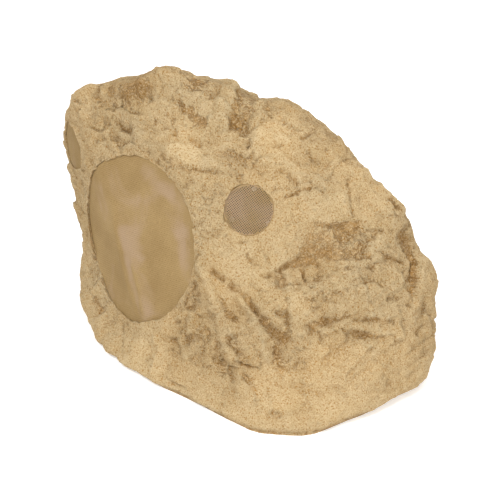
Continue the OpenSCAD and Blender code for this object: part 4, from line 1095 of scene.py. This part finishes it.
def surface_material(name, light, dark, roughness, metallic=0.0, scale=500.0, stretch=(1, 1, 1),
                     strength=0.25, distance=0.0003, specular=0.5, extra=None):
    material, tree, shader, place = new_material(name)
    body = add(tree, "ShaderNodeGroup", node_tree=SURFACE)
    tree.links.new(place, body.inputs["Vector"])
    body.inputs["Scale"].default_value = scale
    body.inputs["Stretch"].default_value = stretch
    body.inputs["Light"].default_value = colour(*light)
    body.inputs["Dark"].default_value = colour(*dark)
    base = body.outputs["Color"]
    if extra:
        base = extra(tree, place, base)
    tree.links.new(base, shader.inputs["Base Color"])
    shader.inputs["Roughness"].default_value = roughness
    shader.inputs["Metallic"].default_value = metallic
    shader.inputs["Specular IOR Level"].default_value = specular
    bump(tree, shader, body.outputs["Height"], strength, distance)
    return material


BARE_WIRE = colour(172, 146, 118)


def grille_tone(tree, place, base):
    """Clouds of thicker paint and greyer bare wire on the grilles."""
    bareness = maths(tree, "MULTIPLY", attribute(tree, "bare"), 0.3)
    cloud = maths(tree, "ADD", noise(tree, place, 20, 3, 0.55, 0.6), bareness)
    return mixed(tree, spread(tree, cloud, 0.5, 0.8, 0.0, 0.8), base, BARE_WIRE)


# Finish of each material slot but the stone
FINISHES = {
    "grille_sheet": dict(light=(167, 140, 95), dark=(148, 121, 78), roughness=0.8, scale=900.0,
                         distance=0.0002, specular=0.25, extra=grille_tone),
    "black_plastic": dict(light=(44, 44, 46), dark=(30, 30, 32), roughness=0.55, scale=900.0),
    "foam": dict(light=(52, 52, 52), dark=(24, 24, 24), roughness=0.95, scale=1500.0, strength=0.6),
    "seal_rubber": dict(light=(34, 34, 34), dark=(20, 20, 20), roughness=0.75, scale=700.0),
    "screw_steel": dict(light=(196, 198, 200), dark=(160, 162, 166),
                        roughness=0.35, metallic=1.0, scale=1200.0),
    "basket_steel": dict(light=(46, 46, 48), dark=(30, 30, 32), roughness=0.45, scale=600.0),
    "cone_plastic": dict(light=(40, 40, 42), dark=(24, 24, 26),
                         roughness=0.6, scale=350.0, stretch=(1, 1, 3)),
    "copper_winding": dict(light=(206, 124, 66), dark=(150, 78, 36),
                           roughness=0.35, metallic=0.9, scale=2500.0,
                           stretch=(0.2, 0.2, 1)),
    "treated_cloth": dict(light=(206, 170, 96), dark=(164, 128, 64),
                          roughness=0.9, scale=1800.0, strength=0.6),
    "plated_steel": dict(light=(186, 188, 186), dark=(150, 152, 150),
                         roughness=0.4, metallic=1.0, scale=500.0),
    "ferrite": dict(light=(62, 62, 64), dark=(40, 40, 42), roughness=0.7, scale=900.0),
    "magnet_alloy": dict(light=(190, 192, 196), dark=(158, 160, 164),
                         roughness=0.3, metallic=1.0, scale=600.0),
    "tinned_brass": dict(light=(214, 206, 176), dark=(180, 168, 130),
                         roughness=0.35, metallic=1.0, scale=900.0),
    "dome_film": dict(light=(60, 60, 64), dark=(40, 40, 44), roughness=0.4, scale=1500.0),
    "circuit_board": dict(light=(52, 96, 62), dark=(34, 70, 44), roughness=0.5, scale=700.0),
    "white_plastic": dict(light=(232, 230, 222), dark=(212, 210, 200), roughness=0.5, scale=700.0),
    "capacitor_film": dict(light=(206, 176, 66), dark=(176, 146, 46), roughness=0.4, scale=500.0),
    "ceramic": dict(light=(236, 234, 228), dark=(212, 208, 200), roughness=0.8, scale=1100.0),
    "terminal_plastic": dict(light=(62, 116, 82), dark=(44, 92, 62), roughness=0.5, scale=700.0),
}
MATERIALS = {name: surface_material(name.replace("_", " "), **facts) for name, facts in FINISHES.items()}
MATERIALS["moulded_rock"] = stone_material()


def paint(obj, material):
    if not obj.data.materials:
        obj.data.materials.append(material)
    for holder in obj.material_slots:
        holder.material = material


for node_name, node_object in NODES.items():
    paint(node_object, MATERIALS[NODE_SLOT[node_name]])

rock.data.materials.clear()
rock.data.materials.append(MATERIALS["moulded_rock"])
rock.data.polygons.foreach_set("material_index", np.zeros(len(rock.data.polygons), np.int32))
skin_base = form_points(directions_of(coordinates(rock.data) / MM))
height, calm, tone = relief(skin_base)
raised = over_smooth(skin_base) + height
# Painted shade: the relief value falls where a point lies below the skin around it and where the relief is
# low, and the stone is coloured darker there, as shade in its hollows and creases; the tone adds the marks'
# painted shade and painted highlight
hollow = 0.24 * hollows(rock.data, raised, 6) + 0.08 * hollows(rock.data, raised, 50)
for label, values in (("relief", 0.7 * tone - hollow + height / 40), ("calm", calm)):
    rock.data.attributes.new(label, "FLOAT", "POINT").data.foreach_set("value", values.astype(np.float32))
smooth_by_angle(rock, 32)
rock.name = rock.data.name = "boulder"
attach(rock, "speaker")
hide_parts("rock_shell")

SHEET = MATERIALS["grille_sheet"]
grille("woofer_grille", WOOFER, WOOFER_RADIUS, 8.0, 2.1, 0.32, 33, SHEET, SHEET_MARKS)
grille("left_tweeter_grille", LEFT, TWEETER_RADIUS, 4.0, 2.0, 0.62, 45, SHEET, bare=-0.2)
grille("right_tweeter_grille", RIGHT, TWEETER_RADIUS, 4.0, 2.0, 0.62, 45, SHEET, bare=0.8)

soft_ring("woofer_surround", surround_profile(), 16, 8, "seal_rubber")
soft_ring("woofer_spider", spider_profile(), 12, 8, "treated_cloth")

# camera, light and floor
CAMERA_FROM, CAMERA_TO = Vector((1.0085, -1.1461, 1.0125)), Vector((0.0449, -0.0375, 0.137))
LIGHTS_TO = Vector((0, 0, 0.15))
# Power in watts and size in metres of each light, with its place
LIGHTS = {
    "key": ((0.0, -2.1, 2.8), 57, 0.9),
    "fill": ((2.6, -0.9, 1.3), 34, 2.0),
    "back": ((0.2, 1.6, 2.6), 26, 2.0),
}
LIGHT_COLOUR = (1.0, 0.99, 0.975)
SOFT_SKY, FLOOR_GLOW, FLOOR_REACH = 0.6, 0.36, 9000


def looking(kind, name, place, target):
    obj = link(bpy.data.objects.new(name, kind))
    obj.location = place
    obj.rotation_euler = (target - Vector(place)).to_track_quat("-Z", "Y").to_euler()
    return obj


lens = bpy.data.cameras.new("camera")
lens.lens, lens.sensor_width = 108, 36
bpy.context.scene.camera = looking(lens, "camera", CAMERA_FROM, CAMERA_TO)


for light_name, (light_place, power, light_size) in LIGHTS.items():
    light = bpy.data.lights.new(light_name, "AREA")
    light.energy, light.size, light.color = power, light_size, LIGHT_COLOUR
    looking(light, light_name, light_place, LIGHTS_TO)

world = bpy.data.worlds.new("studio")
bpy.context.scene.world = world
world.use_nodes = True
sky = world.node_tree
sky.nodes.clear()
rays = add(sky, "ShaderNodeLightPath").outputs
seen = maths(sky, "MAXIMUM", rays["Is Camera Ray"],
             maths(sky, "MAXIMUM", rays["Is Glossy Ray"], rays["Is Transmission Ray"]))
soft, white = (add(sky, "ShaderNodeBackground", Strength=strength, Color=(1, 1, 1, 1))
               for strength in (SOFT_SKY, 1.0))
choice = add(sky, "ShaderNodeMixShader", [(seen, 0), (soft.outputs[0], 1), (white.outputs[0], 2)])
add(sky, "ShaderNodeOutputWorld", [(choice.outputs[0], 0)])

floor_corners = [(x * FLOOR_REACH, y * FLOOR_REACH, 0) for x, y in ((-1, -1), (1, -1), (1, 1), (-1, 1))]
floor = mesh_object("floor", floor_corners, [(0, 1, 2, 3)])
floor_material, floor_tree, floor_shader, _ = new_material("pale floor")
floor_shader.inputs["Base Color"].default_value = (0.93, 0.93, 0.93, 1)
floor_shader.inputs["Roughness"].default_value = 0.9
floor_shader.inputs["Emission Color"].default_value = (1, 1, 1, 1)
floor_seen = add(floor_tree, "ShaderNodeLightPath").outputs["Is Camera Ray"]
floor_glow = maths(floor_tree, "MULTIPLY", floor_seen, FLOOR_GLOW)
floor_tree.links.new(floor_glow, floor_shader.inputs["Emission Strength"])
floor.data.materials.append(floor_material)

bpy.context.scene.view_settings.view_transform = "Standard"
bpy.context.view_layer.update()
